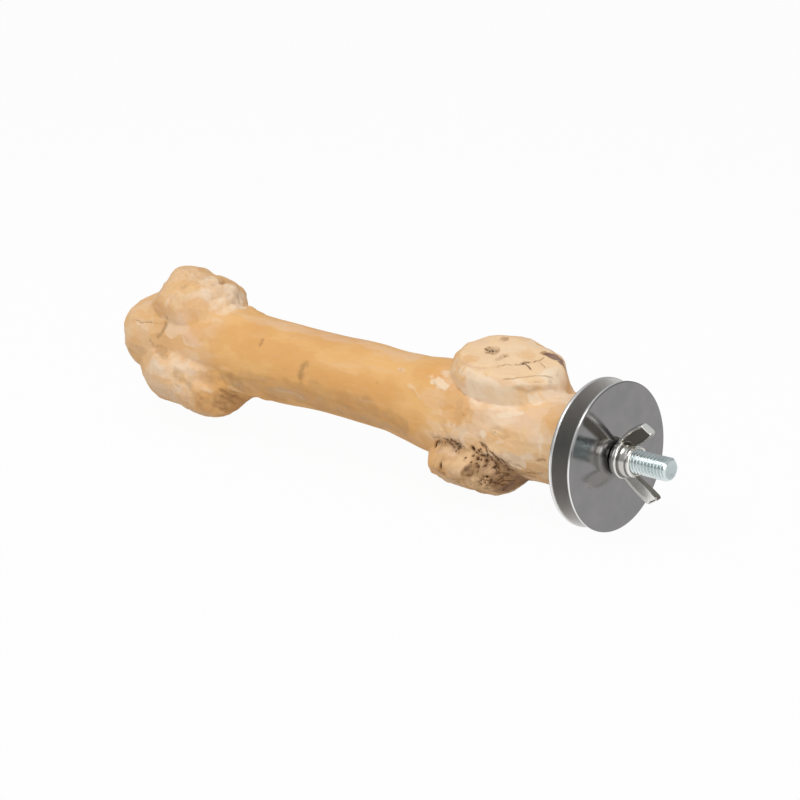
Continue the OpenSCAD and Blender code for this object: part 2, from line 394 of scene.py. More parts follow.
# Every place is s, the distance from the seat in mm, and a, the direction in degrees from +Y
# towards +Z
PATCHES = (
    # The stub: the cut face with its side, then the bark left at its right edge
    *Patch.rows(Tone.PALE, (30, 126.5, 4.8, 1.1, 0.8, -8), (14, 121, 2.4, 1.1, 0.85, 12),
        (17.5, 118, 2.6, 0.8, 0.6, 10), (14, 92, 3, 4, 0.55), (29, 84, 3, 3, 0.35)),
    *Patch.rows(Tone.PINK, (37.7, 90, 2.4, 2, 0.8), (11.8, 87, 1.8, 3, 0.6),
        (32.2, 121, 4, 0.8, 0.7)),
    *Patch.rows(Tone.HONEY, (34.7, 114, 2.4, 2, 0.7), (24.5, 84, 3.2, 2.6, 0.5)),
    *Patch.rows(Tone.UMBER, (28.6, 98, 0.9, 2.4, 0.4), (28.1, 94, 0.8, 0.7, 0.35),
        (20.8, 74, 1.5, 1.1, 1)),
    *Patch.rows(Tone.BARK, (18.4, 74, 3, 1.1, 1, 4), (14.8, 75.5, 1.6, 0.6, 0.8)),
    # Knife cuts below the stub and along the neck; the pale patches at (24.5, 134) and (12, 100)
    # are painted light on wood that the cut face and the washer shade, and the umber at (16.9,
    # 197) is painted shade
    *Patch.rows(Tone.PALE, (19.4, 146, 3.6, 0.7, 0.7, 20), (26.2, 176, 1.2, 1, 0.7),
        (8.3, 173, 0.8, 3, 0.4), (44, 133, 3.6, 1.4, 0.95, -20), (42, 118, 5, 1.6, 0.5),
        (31, 184, 6, 1.8, 0.3), (44, 196, 5, 3, 0.3), (21, 150, 5, 4.5, 0.4),
        (24.5, 134, 8.5, 3, 0.65), (10, 200, 5, 3, 0.14), (8, 167, 4, 3.5, 0.35),
        (12, 100, 5, 5, 0.5)),
    *Patch.rows(Tone.PINK, (15.5, 152, 3.8, 2.3, 0.8), (8.6, 114, 3.6, 2.2, 0.5),
        (10.5, 163, 2.4, 3.4, 0.6), (44, 150, 5, 3.5, 0.5)),
    *Patch.rows(Tone.HONEY, (36, 150, 6.5, 5, 0.95), (34.5, 158, 2, 4.5, 1),
        (51.7, 122, 4, 4, 0.6), (6.5, 144, 3, 5.5, 0.6), (19.3, 137, 3.4, 2, 0.3),
        (8.5, 191, 3, 1.4, 0.5), (45.7, 120, 0.9, 0.8, 1), (44.9, 121, 1.2, 0.9, 1),
        (17.5, 177, 4.8, 3, 0.45)),
    *Patch.rows(Tone.UMBER, (34.5, 158, 1.8, 4, 0.3), (16.9, 197, 2.8, 1.4, 0.2, 25)),
    # The burl's pitted right side, whose umber, grey bark and stain patches round (20, 230) are
    # partly dark wood and partly painted shade where it faces down, and the small knots in the
    # stub's cut face
    *Patch.rows(Tone.UMBER, (20.6, 222, 2, 3.4, 0.8, 20), (19.8, 234, 2.6, 4.2, 1, 10),
        (25.5, 208, 3.5, 3.5, 0.35), (24.4, 211, 2.4, 2.6, 0.35, 30),
        (36, 196, 2.6, 1.2, 0.6, -20), (32, 216, 8, 8, 0.32), (32.8, 94, 1.7, 1.5, 0.45),
        (34.1, 76, 1.3, 1, 0.6), (27.8, 213, 1.5, 1.2, 0.5), (15, 226, 2.6, 1, 0.35, 25)),
    *Patch.rows(Tone.BARK, (19.4, 236, 2.4, 3.6, 0.3, 10), (18.2, 245, 3, 2.4, 0.3)),
    *Patch.rows(Tone.STAIN, (20, 232, 3.2, 5.5, 0.24, 10), (28.1, 211, 0.8, 0.5, 0.45)),
    *Patch.rows(Tone.PITTED, (36, 196, 2.4, 0.9, 0.7, -20), (33.3, 95, 1.3, 0.9, 0.75)),
    *Patch.rows(Tone.HONEY, (35.4, 217, 1.6, 1.6, 0.8)),
    # The stem: the pink strip along its top at (88, 93) is partly pink wood and partly painted
    # sheen, and the umber band along its lower side at (88, 203) is painted shade
    *Patch.rows(Tone.PINK, (59.4, 127, 1.6, 1, 1), (65, 102, 9, 3, 0.5), (88, 93, 34, 3.8, 0.6),
        (101.7, 208, 15, 2.8, 0.4), (66, 214, 20, 2.2, 0.4), (113, 101, 14, 2.6, 0.55)),
    *Patch.rows(Tone.HONEY, (104, 152, 17, 4.5, 0.8), (74, 165, 20, 3.6, 0.7)),
    *Patch.rows(Tone.UMBER, (88, 203, 40, 5, 0.4)),
    *Patch.rows(Tone.STAIN, (92.5, 170, 0.9, 3.2, 0.2), (110.8, 140, 0.7, 1.6, 0.15)),
    # The far knob and the bulge under it; the pale patch at (135, 70) is painted light on the
    # knob's shaded right side, the umber at (150, 188.5) is a painted shadow under the knob, and
    # the umber at (124.8, 241) is partly dark wood and partly painted shade where the bulge faces
    # down
    *Patch.rows(Tone.PALE, (133, 82, 4, 4, 0.8), (135, 70, 2.5, 3, 0.5), (136, 98, 6, 5, 0.4),
        (131, 92, 3, 3, 0.3), (147, 92, 6, 5, 0.2), (144.5, 211, 9, 6, 0.45),
        (121.8, 207, 5.5, 1.5, 0.3, -14), (137, 192, 7, 1.6, 0.4), (166, 165, 4, 6, 0.22)),
    *Patch.rows(Tone.HONEY, (143.5, 104, 4, 3, 0.5), (151, 134, 5, 3.2, 0.55),
        (129, 146, 12, 6, 0.7), (155, 138, 7, 5, 0.6), (129, 224, 4, 3, 0.6)),
    *Patch.rows(Tone.PINK, (135, 164, 2.6, 1.6, 0.7), (158, 122, 6, 2.4, 0.6),
        (137, 214, 4, 2.4, 0.5)),
    *Patch.rows(Tone.UMBER, (150, 188.5, 5, 1.4, 0.45, -10), (163, 196, 4.2, 2, 0.35),
        (124.8, 241, 3.4, 5, 0.6), (138.6, 200, 2.6, 1.1, 0.38, -20),
        (155.2, 180, 0.9, 0.7, 0.45)),
    # The far side, which the photograph doesn't show
    *Patch.rows(Tone.PALE, (25, 330, 8, 5, 0.5), (120, 20, 10, 4, 0.4), (136, 280, 8, 4, 0.6),
        (21, 345, 5, 3, 0.6, 20), (38, 305, 6, 3, 0.4), (52, 350, 8, 2, 0.3, 10),
        (140, 345, 4, 2.2, 0.6, 30), (165, 60, 3, 3, 0.4)),
    *Patch.rows(Tone.PINK, (60, 300, 14, 4, 0.6), (158, 30, 7, 4, 0.6), (12, 10, 5, 4, 0.6),
        (78, 318, 5.5, 3.8, 0.8), (10, 320, 4, 3, 0.7), (163, 340, 4, 3, 0.6),
        (108, 60, 12, 1.4, 0.6)),
    *Patch.rows(Tone.HONEY, (95, 345, 16, 5, 0.7), (80, 30, 18, 4, 0.6), (150, 330, 9, 6, 0.6),
        (40, 20, 8, 4, 0.7)),
    *Patch.rows(Tone.UMBER, (30, 270, 7, 3, 0.5), (68, 345, 3, 0.9, 0.5, 60),
        (78, 318, 3.6, 2.4, 0.35), (148, 10, 3, 2.2, 0.4), (128, 330, 4, 2, 0.4, -20),
        (106, 300, 14, 1.6, 0.35)),
)

CREASES = (
    # Cracks and folds of the stub
    *Crease.rows(Tone.STAIN,
        (0.2, 0.4, 0.75, (27, 112), (25.7, 106), (23.9, 100), (22.6, 97)),
        (0.34, 0.6, 0.95, (24.2, 101), (22.6, 97), (22.8, 92), (20.9, 90)),
        (0.2, 0.4, 0.6, (20.9, 90), (20.8, 86), (20.1, 82), (20, 78)),
        (0.2, 0.45, 0.75, (22.6, 96), (20.5, 96), (18.6, 99)),
        (0.18, 0.3, 0.5, (19.8, 85), (18.4, 87), (16.3, 90)),
        (0.2, 0.3, 0.45, (22.7, 123), (21.1, 120), (18.8, 114), (16.4, 104), (14.3, 100),
         (12.5, 94)),
        (0.18, 0.2, 0.4, (15.8, 112), (14.1, 108)),
        (0.18, 0.2, 0.45, (13.3, 102), (12.2, 100))),
    *Crease.rows(Tone.UMBER,
        (0.5, 0.45, 0.35, (38.1, 118), (35.6, 120), (32.2, 122), (29.2, 118), (26.8, 112),
         (26.8, 106)),
        (0.6, 0.5, 0.35, (19.4, 125), (16.4, 121), (12.9, 109), (10.1, 94)),
        (0.5, 0.25, 0.12, (24.5, 116), (20, 112), (16.5, 101)),
        (0.5, 0.3, 0.5, (34.4, 94), (33.9, 98), (32.8, 99), (31.7, 98), (31.2, 94), (31.7, 90),
         (32.8, 89), (33.9, 90), (34.4, 94)),
        (0.5, 0.3, 0.5, (35.6, 76), (34.8, 79.5), (33.4, 79.5), (32.6, 76))),
    *Crease.rows(Tone.PALE,
        (0.7, -0.45, 0.4, (20.4, 126), (16.7, 117), (13.1, 107), (10.5, 92))),
    # The eye on the neck, and a few dark dashes near the washer
    *Crease.rows(Tone.UMBER,
        (0.6, 0.16, 0.35, (24.6, 169), (22.2, 167), (19.6, 170), (18.6, 174), (20.4, 177),
         (23.4, 174), (24.6, 169)),
        (0.4, 0.15, 0.8, (10.6, 198), (8, 194), (5.8, 190))),
    # The burl: the crack at its left end, its folds, and the swirl of the grain round it
    *Crease.rows(Tone.STAIN,
        (0.4, 0.9, 1, (40.1, 198), (42.4, 206), (42.8, 212)),
        (0.3, 0.5, 0.7, (36.2, 210), (36.2, 216), (34.9, 220)),
        (0.26, 0.5, 0.7, (29.6, 224), (29.1, 230)),
        (0.22, 0.3, 0.5, (28.9, 213), (28.6, 216), (27.7, 217.5), (26.8, 216), (26.5, 213)),
        (0.34, 0.55, 0.75, (27.9, 186), (25.4, 194), (23.8, 205), (22.7, 214), (21.3, 220)),
        (0.22, 0.4, 0.55, (26.8, 186), (24.3, 194), (21.9, 204), (21.2, 214)),
        (0.26, 0.5, 0.75, (24.3, 193), (21.3, 203), (19.7, 216), (16.7, 224), (13.6, 232)),
        (0.26, 0.35, 0.55, (21.2, 202), (18.4, 212), (15.5, 220), (9.4, 218)),
        (0.26, 0.35, 0.65, (20.9, 209), (18.5, 220), (15.8, 228), (12.2, 230)),
        (0.2, 0.2, 0.35, (19.5, 203), (17, 210), (13.5, 215)),
        (0.2, 0.2, 0.35, (18, 205), (15, 213), (11, 216), (7.5, 213)),
        (0.22, 0.25, 0.5, (17.5, 222), (14.5, 226), (11.5, 224)),
        (0.26, 0.4, 0.6, (26.4, 214), (23.5, 222), (21.2, 226), (20.3, 226)),
        (0.28, 0.4, 0.7, (23.1, 224), (21.5, 228), (20, 230), (18.6, 238)),
        (0.3, 0.4, 0.55, (23.8, 227), (22.2, 226), (21.1, 230), (19.7, 239)),
        (0.28, 0.4, 0.7, (22.4, 219), (20.6, 222), (19.6, 228))),
    *Crease.rows(Tone.UMBER,
        (0.6, 0.5, 0.35, (37.7, 225), (36.3, 214), (36.2, 208), (34, 206), (31.7, 206)),
        (0.4, 0.3, 0.4, (34.3, 203), (31.3, 202)),
        (0.8, 0.5, 0.3, (39, 230), (34.1, 226), (28.8, 220), (26.9, 217)),
        (0.32, 0.4, 0.8, (28.9, 212), (28.6, 216), (27.7, 217.5), (26.8, 216), (26.5, 213),
         (26.9, 210.5), (27.8, 210), (28.6, 210.5)),
        # A broad umber band between the swirl lines, painted shade
        (1.3, 0.15, 0.5, (23.8, 197), (21.4, 206), (20, 218), (17, 227))),
    # The stem
    *Crease.rows(Tone.UMBER,
        (0.9, 0.14, 0.55, (110.9, 132), (110.7, 140), (111, 148)),
        (1.15, 0.22, 0.6, (90.4, 152), (92.2, 160), (93.1, 169), (92.7, 185))),
    *Crease.rows(Tone.PALE,
        (0.5, 0.1, 0.45, (105.8, 205), (95.2, 204), (91.9, 214)),
        (0.5, -0.12, 0.5, (55.7, 142), (51.5, 148), (47.9, 157)),
        (0.35, -0.35, 1, (46.5, 130), (43.5, 136), (41.5, 138)),
        (0.3, -0.3, 1, (45.6, 134), (42.6, 131))),
    # The far end: a curved crack, and the knob's and the bulge's folds
    *Crease.rows(Tone.STAIN,
        (0.18, 0.3, 0.4, (166.4, 152), (161, 158), (158.6, 156), (154.8, 157)),
        (0.3, 0.3, 0.3, (147.5, 96), (144.9, 95), (139.6, 92)),
        (0.22, 0.2, 0.25, (140, 204), (138.5, 204)),
        (0.2, 0.25, 0.35, (139.9, 206), (138.4, 208), (136.9, 210))),
    *Crease.rows(Tone.UMBER,
        (0.4, 0.15, 0.35, (155.8, 157), (151.5, 156), (149, 150)),
        (0.9, 0.2, 0.75, (148.7, 148), (149.3, 158), (150.5, 168), (152.8, 178)),
        # The umber of the next two lines is painted shade beside the knob's cream ridges and lobes
        (0.5, 0.4, 0.35, (136.1, 109), (135, 100), (134.4, 94)),
        (0.6, 0.4, 0.2, (135.2, 72), (133.9, 74), (132.8, 75)),
        (0.8, 0.6, 0.6, (136.8, 92), (137.7, 86), (138.7, 80)),
        # The umber in this groove at the knob's foot is painted shade
        (0.8, 0.7, 0.2, (132.2, 99), (132.4, 86), (132.2, 72), (132.2, 56)),
        (0.9, 0.4, 0.3, (142.3, 201), (135.1, 206), (132.7, 214), (132, 224), (133, 234)),
        (0.5, 0.5, 0.9, (126.4, 216), (124.7, 224), (123.3, 232), (122.6, 249)),
        (0.4, 0.45, 0.8, (126.4, 222), (124.7, 232), (124.3, 248)),
        (0.5, 0.5, 0.6, (125.6, 232), (127.1, 244)),
        (0.5, 0.4, 0.6, (129.1, 240), (128.7, 250), (126.8, 254)),
        (0.5, 0.3, 0.6, (130.9, 218), (130.4, 222)),
        # The umber of these two broad valleys is partly painted shade along the bulge's upper edge
        # under the stem
        (1.5, 0.3, 0.35, (132.7, 198), (126.4, 208), (119.5, 202)),
        (1.6, 0.35, 0.2, (142.7, 196), (138.3, 188), (131.1, 190), (122.9, 198), (114.9, 208))),
    *Crease.rows(Tone.PALE,
        (0.8, 0, 0.5, (148.3, 126), (147.9, 138)),
        (1.5, -0.25, 0.42, (148.6, 124), (145.6, 122), (142.1, 122), (139.6, 113), (138.3, 103)),
        (1.2, -0.35, 0.7, (138.3, 102), (137.4, 108), (137, 113)),
        (1.7, -0.6, 0.7, (135.8, 76), (134.7, 82), (134.4, 88)),
        (0.9, -0.3, 0.7, (134.5, 105), (133.5, 96), (132.4, 84)),
        (0.8, -0.25, 0.55, (133.1, 106), (130.4, 104), (129.4, 92)),
        (0.8, -0.35, 0.6, (150.6, 202), (147, 200), (144, 201)),
        (0.7, -0.45, 0.5, (131.1, 210), (128.7, 215), (126.8, 219)),
        (1, -0.45, 0.4, (124.5, 216), (121.1, 222), (118.7, 232))),
    *Crease.rows(Tone.PINK,
        (1.7, -0.1, 0.8, (142.3, 133), (142.3, 142), (139.3, 156), (135, 164))),
    *Crease.rows(Tone.HONEY,
        (1.6, 0.2, 0.7, (143.4, 130), (140.3, 124), (137.6, 120), (134.5, 112))),
    # The far side
    *Crease.rows(Tone.UMBER,
        (0.7, 0.2, 0.8, (64, 330), (66, 350)),
        (0.4, 0.2, 0.5, (80.6, 318), (79, 325), (76.4, 323), (75.6, 317), (77.4, 311),
         (80.2, 313), (80.6, 318)),
        (0.7, 0.4, 0.5, (138, 318), (133, 326), (128, 322)),
        (0.6, 0.35, 0.4, (150, 40), (144, 46), (138, 42))),
    *Crease.rows(Tone.STAIN,
        (0.3, 0.4, 0.5, (28, 300), (22, 310), (16, 305)),
        (0.2, 0.2, 0.6, (79.2, 318), (78, 321), (76.8, 318)),
        (0.26, 0.4, 0.6, (36, 20), (30, 24), (24, 18)),
        (0.26, 0.4, 0.65, (157, 350), (151, 356), (146, 350), (142, 354))),
    *Crease.rows(Tone.PALE,
        (0.8, -0.35, 0.5, (146, 300), (140, 306), (134, 300)),
        (0.5, 0.1, 0.5, (118, 350), (104, 354), (92, 350)),
        (0.9, -0.3, 0.5, (30, 345), (24, 352), (17, 348))),
)

DENTS = (
    # Small hollows at the far end, the stub and the neck
    *Dent.rows((148.7, 146, 0.9, 0.35, 0.4), (145.4, 113, 1, 0.3, 0.3),
        (138.2, 96, 0.7, 0.4, 0.3), (133.9, 75, 1.1, 0.5, 0.35), (137.5, 87, 0.7, 0.5, 0.3),
        (138.8, 200, 2.2, 0.5, 0.05), (32.8, 94, 1.3, 0.3, 0.25, 0.12),
        (34.1, 76, 1, 0.25, 0.4, 0.1), (34.7, 117, 0.25, 0.1, 0.6),
        (28.1, 94, 0.8, 0.08, 0.1, 0.08), (12.8, 89, 0.25, 0.15, 0.5), (9, 82, 3, 1),
        (20.9, 74, 0.8, 0.3, 0.6), (34, 142, 5.5, -0.8), (25, 138, 6.5, -0.9),
        (22.7, 172, 0.3, 0.2, 0.7), (27.1, 182, 0.3, 0.2, 0.4)),
    # The burl's pits, and the pimples between them
    *Dent.rows((27.7, 213.5, 1.1, 0.9, 0.3, 0.3), (27.1, 215.5, 0.5, -0.45),
        (36.2, 212, 0.5, 0.6, 0.8), (34.8, 219, 0.8, 0.5, 0.4, 0.2),
        (29.6, 198, 0.75, 1.1, 1, 0.15), (27.6, 198, 0.4, 0.6, 0.8),
        (27.6, 206, 0.65, 1.1, 1, 0.15), (29.2, 204, 0.45, 0.9, 0.9),
        (25.5, 208, 0.5, 0.9, 0.95, 0.1), (26.1, 211, 0.45, 0.8, 0.85),
        (23.4, 219, 0.45, 0.7, 0.8), (23, 214.5, 0.45, 0.7, 0.85), (31, 202, 0.3, 0.3, 0.5),
        (28.5, 201, 0.3, 0.5, 0.85), (26.9, 203.5, 0.35, 0.6, 0.9, 0.1),
        (28.3, 207.5, 0.3, 0.5, 0.85), (25.4, 204.5, 0.25, 0.4, 0.85),
        (24.9, 211.5, 0.35, 0.6, 0.9, 0.1), (26.9, 209, 0.25, 0.4, 0.85),
        (24.2, 207, 0.25, 0.4, 0.8), (30.3, 206, 0.25, 0.4, 0.8), (24.6, 216, 0.45, -0.4),
        (23.2, 218, 0.5, -0.45), (22.3, 223, 0.7, -0.5), (39.3, 212, 0.35, 0.3, 0.5),
        (38.9, 216, 0.3, 0.25, 0.4), (30.5, 223, 4.2, -0.3), (43.5, 228, 4.5, 0.8),
        (35, 258, 6, 0.7)),
    # Specks and soft bumps elsewhere
    *Dent.rows((65, 155, 0.3, 0.1, 0.6), (59.4, 127, 0.5, 0.1, 0.3), (139.9, 88, 3, -0.7),
        (151.5, 135, 4.5, -0.75), (143.5, 144, 4, -0.5), (157.5, 124, 3, -0.5),
        (135.5, 76, 2.6, -0.8), (131.8, 68, 2.4, -0.3), (135.5, 64, 3.2, 0.9),
        (138, 79, 1.8, 0.5), (129.8, 66, 2, -0.6), (118, 238, 5, 0.9), (131.5, 92, 2.2, -0.5),
        (152, 96, 4, -0.3), (148, 224, 4, -0.3), (129.6, 219, 0.7, -0.35), (126, 250, 2.4, -0.5),
        (116, 300, 1.6, 0.3, 0.5, 0.2), (34, 335, 1.8, 0.35, 0.55, 0.25),
        (78, 318, 1.2, 0.3, 0.3), (150.5, 8, 0.8, 0.4, 0.5, 0.1), (143, 330, 3.4, -0.5),
        (134, 352, 3, -0.4), (22, 330, 3, 0.4), (160, 320, 4, 0.5)),
)

CRUMBLES = (
    Crumble((36.2, 196), (1.6, 2.2), 42, (0.12, 0.3), 0.4, 0.75),
    Crumble((34.3, 200), (0.8, 1.6), 12, (0.15, 0.35), 0.5, 0.8),
    Crumble((42.0, 196), (1.2, 2.5), 10, (0.12, 0.25), 0.3, 0.5),
    Crumble((27.0, 205), (1.6, 5.0), 20, (0.14, 0.32), 0.5, 0.8),
    Crumble((23.6, 210), (1.4, 6.0), 22, (0.14, 0.34), 0.5, 0.75),
    Crumble((21.0, 224), (1.6, 7.0), 26, (0.15, 0.4), 0.5, 0.75),
    Crumble((33.2, 95), (0.7, 2.0), 16, (0.12, 0.26), 0.25, 0.75),
    Crumble((28.6, 98), (0.5, 2.6), 9, (0.12, 0.22), 0.2, 0.5),
    Crumble((126.0, 236), (2.4, 9.0), 10, (0.2, 0.5), 0.4, 0.35),
    Crumble((29.0, 248), (5.0, 10.0), 24, (0.25, 0.6), 0.6, 0.6),
    Crumble((149.0, 12), (1.4, 3.5), 18, (0.15, 0.35), 0.35, 0.6),
)

NODULES = (
    Nodules((33.0, 222), (7.0, 20.0), 24, 4.6, 0.45, 0.05),
    Nodules((23.6, 214), (2.4, 9.0), 34, 1.5, 0.35, 0.3),
    Nodules((126.0, 232), (6.0, 20.0), 20, 3.8, 0.5, 0.1),
    Nodules((134.0, 80), (5.0, 14.0), 24, 3.4, 0.45, 0.06),
)


@dataclass(frozen=True)
class Lump:
    """A lump on the stem: its middle, length, direction, angle taken, height and flatness."""

    at: float
    long: float
    aim: float
    span: float
    high: float
    flat: float

    def share(self, s: Array, a: Array) -> Array:
        """The lump's height as a share.

        With q the distance from the middle in half lengths and half angles, and v the
        greater of 0 and 1 - q^flat, the share is 3v^2 - 2v^3.

        Args:
            s: distances from the seat in mm.
            a: directions in degrees from +Y towards +Z.

        Returns:
            Shares from 0 to 1.
        """
        off = a - self.aim
        off = off - 360 * np.round(off / 360)
        q = np.hypot((s - self.at) / (self.long / 2), off / (self.span / 2))
        return smooth(1 - np.minimum(q, 1) ** self.flat)


@dataclass
class Branch:
    """The debarked branch with its cut stub, burl and end knobs."""

    long: float = 175.0
    stem_d: float = 23.0
    # How far the middle line rises and bows where its share is 1
    rise: float = 5.0
    bow: float = 1.5
    # The far end's rounding: its length and the power of its curve
    nose: float = 12.0
    nose_power: float = 2.25
    # The sawn end: its rounded edge, its place, and the bolt's pilot hole
    seat_round: float = 1.2
    seat_x: float = -1.1
    bore_d: float = 4.6
    bore_deep: float = 26.1
    # How much longer than round the stem's section is, as a share, and its direction
    oval: float = 0.02
    oval_aim: float = 40.0
    stub: Lump = Lump(27.7, 37.5, 88, 106, 10.0, 3)
    burl: Lump = Lump(33.5, 31.5, 242, 83, 5.4, 5)
    knob: Lump = Lump(147.0, 32.5, 84, 137, 6.5, 2.6)
    bulge: Lump = Lump(143.5, 46.0, 244, 121, 7.8, 2.6)
    burl_lean: float = 2.2
    # The stub's cut face: height, degrees of tilt and of fall, and its rounded edge
    face_high: float = 20.4
    face_tilt: float = 15.0
    face_fall: float = 9.0
    face_round: float = 3.0
    # The smallest sine that the cut face is divided by, where it would run off sideways
    least_sine: float = 0.1
    # The mesh: points round a ring, rings between the ends' rounding, and rings at the nose
    sides: int = 216
    rings_between: int = 410
    nose_rings: int = 25
    # Where something of the near end has faded out, over what length, and where it sets in
    # again at the far end: the closer rings, the stronger relief and the lighter wood
    dense: tuple[Place, Place] = ((52, 8), (118, 10))
    rough: tuple[Place, Place] = ((56, 12), (122, 12))
    light: tuple[Place, Place] = ((50, 22), (124, 10))
    # The directions that the photograph shows, where a ring's points stand closer
    shown: Place = (40, 275)
    shown_edge: float = 25.0
    shown_more: float = 1.5
    # Stations: place, radius, rise and bow, as shares
    stem: Array = field(default_factory=lambda: np.array([
        [0.00, 1.14, 0.31, 0.0], [0.08, 1.03, 0.28, 0.0], [0.18, 1.13, 0.28, 0.1],
        [0.28, 1.09, 0.43, 0.3], [0.38, 0.96, 0.72, 0.5], [0.45, 0.96, 0.86, 0.7],
        [0.53, 0.95, 0.90, 0.9], [0.65, 0.99, 0.91, 1.0], [0.78, 1.11, 0.90, 0.8],
        [0.87, 1.08, 1.15, 0.5], [1.00, 1.07, 0.71, 0.2]]))
    # Small swellings: place, direction, length, angle and height
    swells: tuple[tuple[float, ...], ...] = (
        (0.61, 206, 1.66, 126, 0.02), (0.24, 101, 1.56, 136, 0.04), (0.24, 10, 1.5, 100, 0.04),
        (0.46, 25, 0.6, 50, 0.03), (0.87, 88, 0.46, 59, 0.07), (0.91, 258, 0.86, 64, 0.036),
        (0.88, 10, 1.3, 110, 0.06), (0.10, 237, 1.0, 69, 0.02), (0.77, 83, 0.44, 57, 0.015),
        (0.12, 67, 0.78, 62, -0.02))

    def middle(self, s: Array) -> tuple[Array, Array]:
        """Returns the y and z of the stem's middle line at s."""
        u = s / self.long
        return -self.bow * through(self.stem, u, 3), self.rise * through(self.stem, u, 2)

    def surface(self, s: Array, a: Array) -> tuple[Array, Array]:
        """Works out the smooth wood, as the solid has it.

        The radius is the stem's radius, a little oval, plus the lumps' heights. The stub
        is cut off softly by a tilted plane, the seat's edge is rounded, and the far end
        draws in as (1 - t^p)^(1/p).

        Args:
            s: distances from the seat in mm.
            a: directions in degrees from +Y towards +Z.

        Returns:
            Points in mm, and how far the saw cut reaches below the uncut wood.
        """
        cos, sin = np.cos(np.radians(a)), np.sin(np.radians(a))
        wy, wz = self.middle(s)
        bare = (self.stem_d / 2 * through(self.stem, s / self.long, 1)
                * (1 + self.oval * np.cos(np.radians(2 * (a - self.oval_aim)))))
        for lump in (self.stub, self.burl, self.knob, self.bulge):
            bare = bare + lump.high * lump.share(s, a)
        for place, aim, far, span, high in self.swells:
            bare = bare + self.stem_d * high * Lump(
                self.long * place, self.stem_d * far, aim, span, 1.0, 2).share(s, a)
        tilt = np.radians(self.face_tilt)
        top = self.face_high + (s - self.stub.at) * np.tan(np.radians(self.face_fall))
        up = np.maximum(np.sin(np.radians(a) - tilt), self.least_sine)
        face = ((top - wz) * np.cos(tilt) + wy * np.sin(tilt)) / up
        h = np.clip((1 + (face - bare) / self.face_round) / 2, 0, 1)
        soft = face + (bare - face) * h - self.face_round * h * (1 - h)
        on_stub = self.stub.share(s, a) > 0
        r = np.where(on_stub, soft, bare)
        cut = np.where(on_stub, bare - face, -1.0)
        e = self.seat_round
        r = r - np.where(s >= e, 0, e - np.sqrt(np.maximum(0, e**2 - (e - s) ** 2)))
        t = np.clip((s - self.long + self.nose) / self.nose, 0, 1)
        r = r * (1 - t**self.nose_power) ** (1 / self.nose_power)
        x = self.seat_x - s - self.burl_lean * self.burl.share(s, a)
        return np.stack([x, wy + r * cos, wz + r * sin], -1), cut

    def ends(self, s: Array, limits: tuple[Place, Place]) -> tuple[Array, Array]:
        """Returns shares that are 1 at the near and at the far end, and soft steps to 0."""
        (near, near_soft), (far, far_soft) = limits
        return smooth((near - s) / near_soft), smooth((s - far) / far_soft)

    def rings(self) -> Array:
        """Spaces the rings: close at the lumps, wider on the bare stem, closing in at the end."""
        s = np.linspace(self.seat_round, self.long - self.nose, 4000)
        near, far = self.ends(s, self.dense)
        inner = spaced(s, 1 / (0.8 - 0.57 * near - 0.46 * far), self.rings_between)
        edge = self.seat_round * np.array([0, 0.06, 0.2, 0.4, 0.65])
        k = np.arange(self.nose_rings) + 1
        nose = self.long - self.nose + self.nose * np.sin(
            np.radians(90 * k / (self.nose_rings + 1)))
        return np.concatenate([edge, inner, nose])

    def angles(self) -> Array:
        """Spaces the points round a ring: closer on the side that the photograph shows."""
        a = np.linspace(0, 360, 1441)
        first, last = self.shown
        shown = smooth((a - first) / self.shown_edge) * smooth((last - a) / self.shown_edge)
        return spaced(a, 1 + self.shown_more * shown, self.sides + 1)[:-1]

    def carve(self) -> tuple[Array, dict[Tone, Array]]:
        """Puts the knife cuts, knots, cracks and pits of the real wood on the smooth surface.

        Each point moves along the surface's normal by the sum of smooth unevenness and of
        the features' heights, which fall off with the distance in space.

        Returns:
            The points in mm, and each tone's values.
        """
        s, a = np.meshgrid(self.rings(), self.angles(), indexing="ij")
        base, cut = self.surface(s, a)
        along = np.gradient(base, axis=0)
        across = np.roll(base, -1, 1) - np.roll(base, 1, 1)
        normal = np.cross(along, across)
        normal /= np.maximum(np.linalg.norm(normal, axis=-1, keepdims=True), 1e-9)
        wy, wz = self.middle(s)
        out = normal[..., 1] * (base[..., 1] - wy) + normal[..., 2] * (base[..., 2] - wz)
        normal *= np.sign(out.sum())
        marks = Marks(self, s, a, base, normal)
        sawn = smooth(cut / 1.6 + 0.1)
        marks.tones[Tone.SAWN] = sawn
        lumpy = np.clip(self.knob.share(s, a) + self.bulge.share(s, a)
                        + self.burl.share(s, a), 0, 1)
        marks.tones[Tone.KNOTTY] = np.maximum(lumpy, 0.3 * self.stub.share(s, a))
        ends = np.maximum(*self.ends(s, self.rough))
        near, far = self.ends(s, self.light)
        marks.tones[Tone.LIGHT] = np.maximum(near, 0.6 * far)
        big, fine = Unevenness(11), Unevenness(23)
        # Broad waves, grain on the lumps, the saw's scratches, then fibres along the wood
        marks.height += (0.16 + 0.2 * ends) * big.at(base, 11.0) + 0.06 * big.at(base, 4.5)
        marks.height += lumpy * (0.12 * fine.at(base, 3.2) + 0.04 * fine.at(base, 1.5))
        marks.height += sawn * 0.06 * fine.layers(base, 2.2, 2)
        marks.height += 0.02 * fine.at(base * np.array([0.2, 1, 1]), 1.2)
        marks.whittle((0.05 + 0.3 * ends) * (1 - 0.7 * sawn))
        for item in (*PATCHES, *NODULES, *CREASES, *DENTS, *CRUMBLES):
            marks.put(item)
        # The relief fades out at the seat and at the far end's point
        fade = smooth(s / 3) * smooth((self.long - s) / 2)
        points = base + normal * (marks.height * fade)[..., None]
        low, high = (np.array(c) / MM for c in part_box("branch"))
        return np.clip(points, low, high), marks.tones

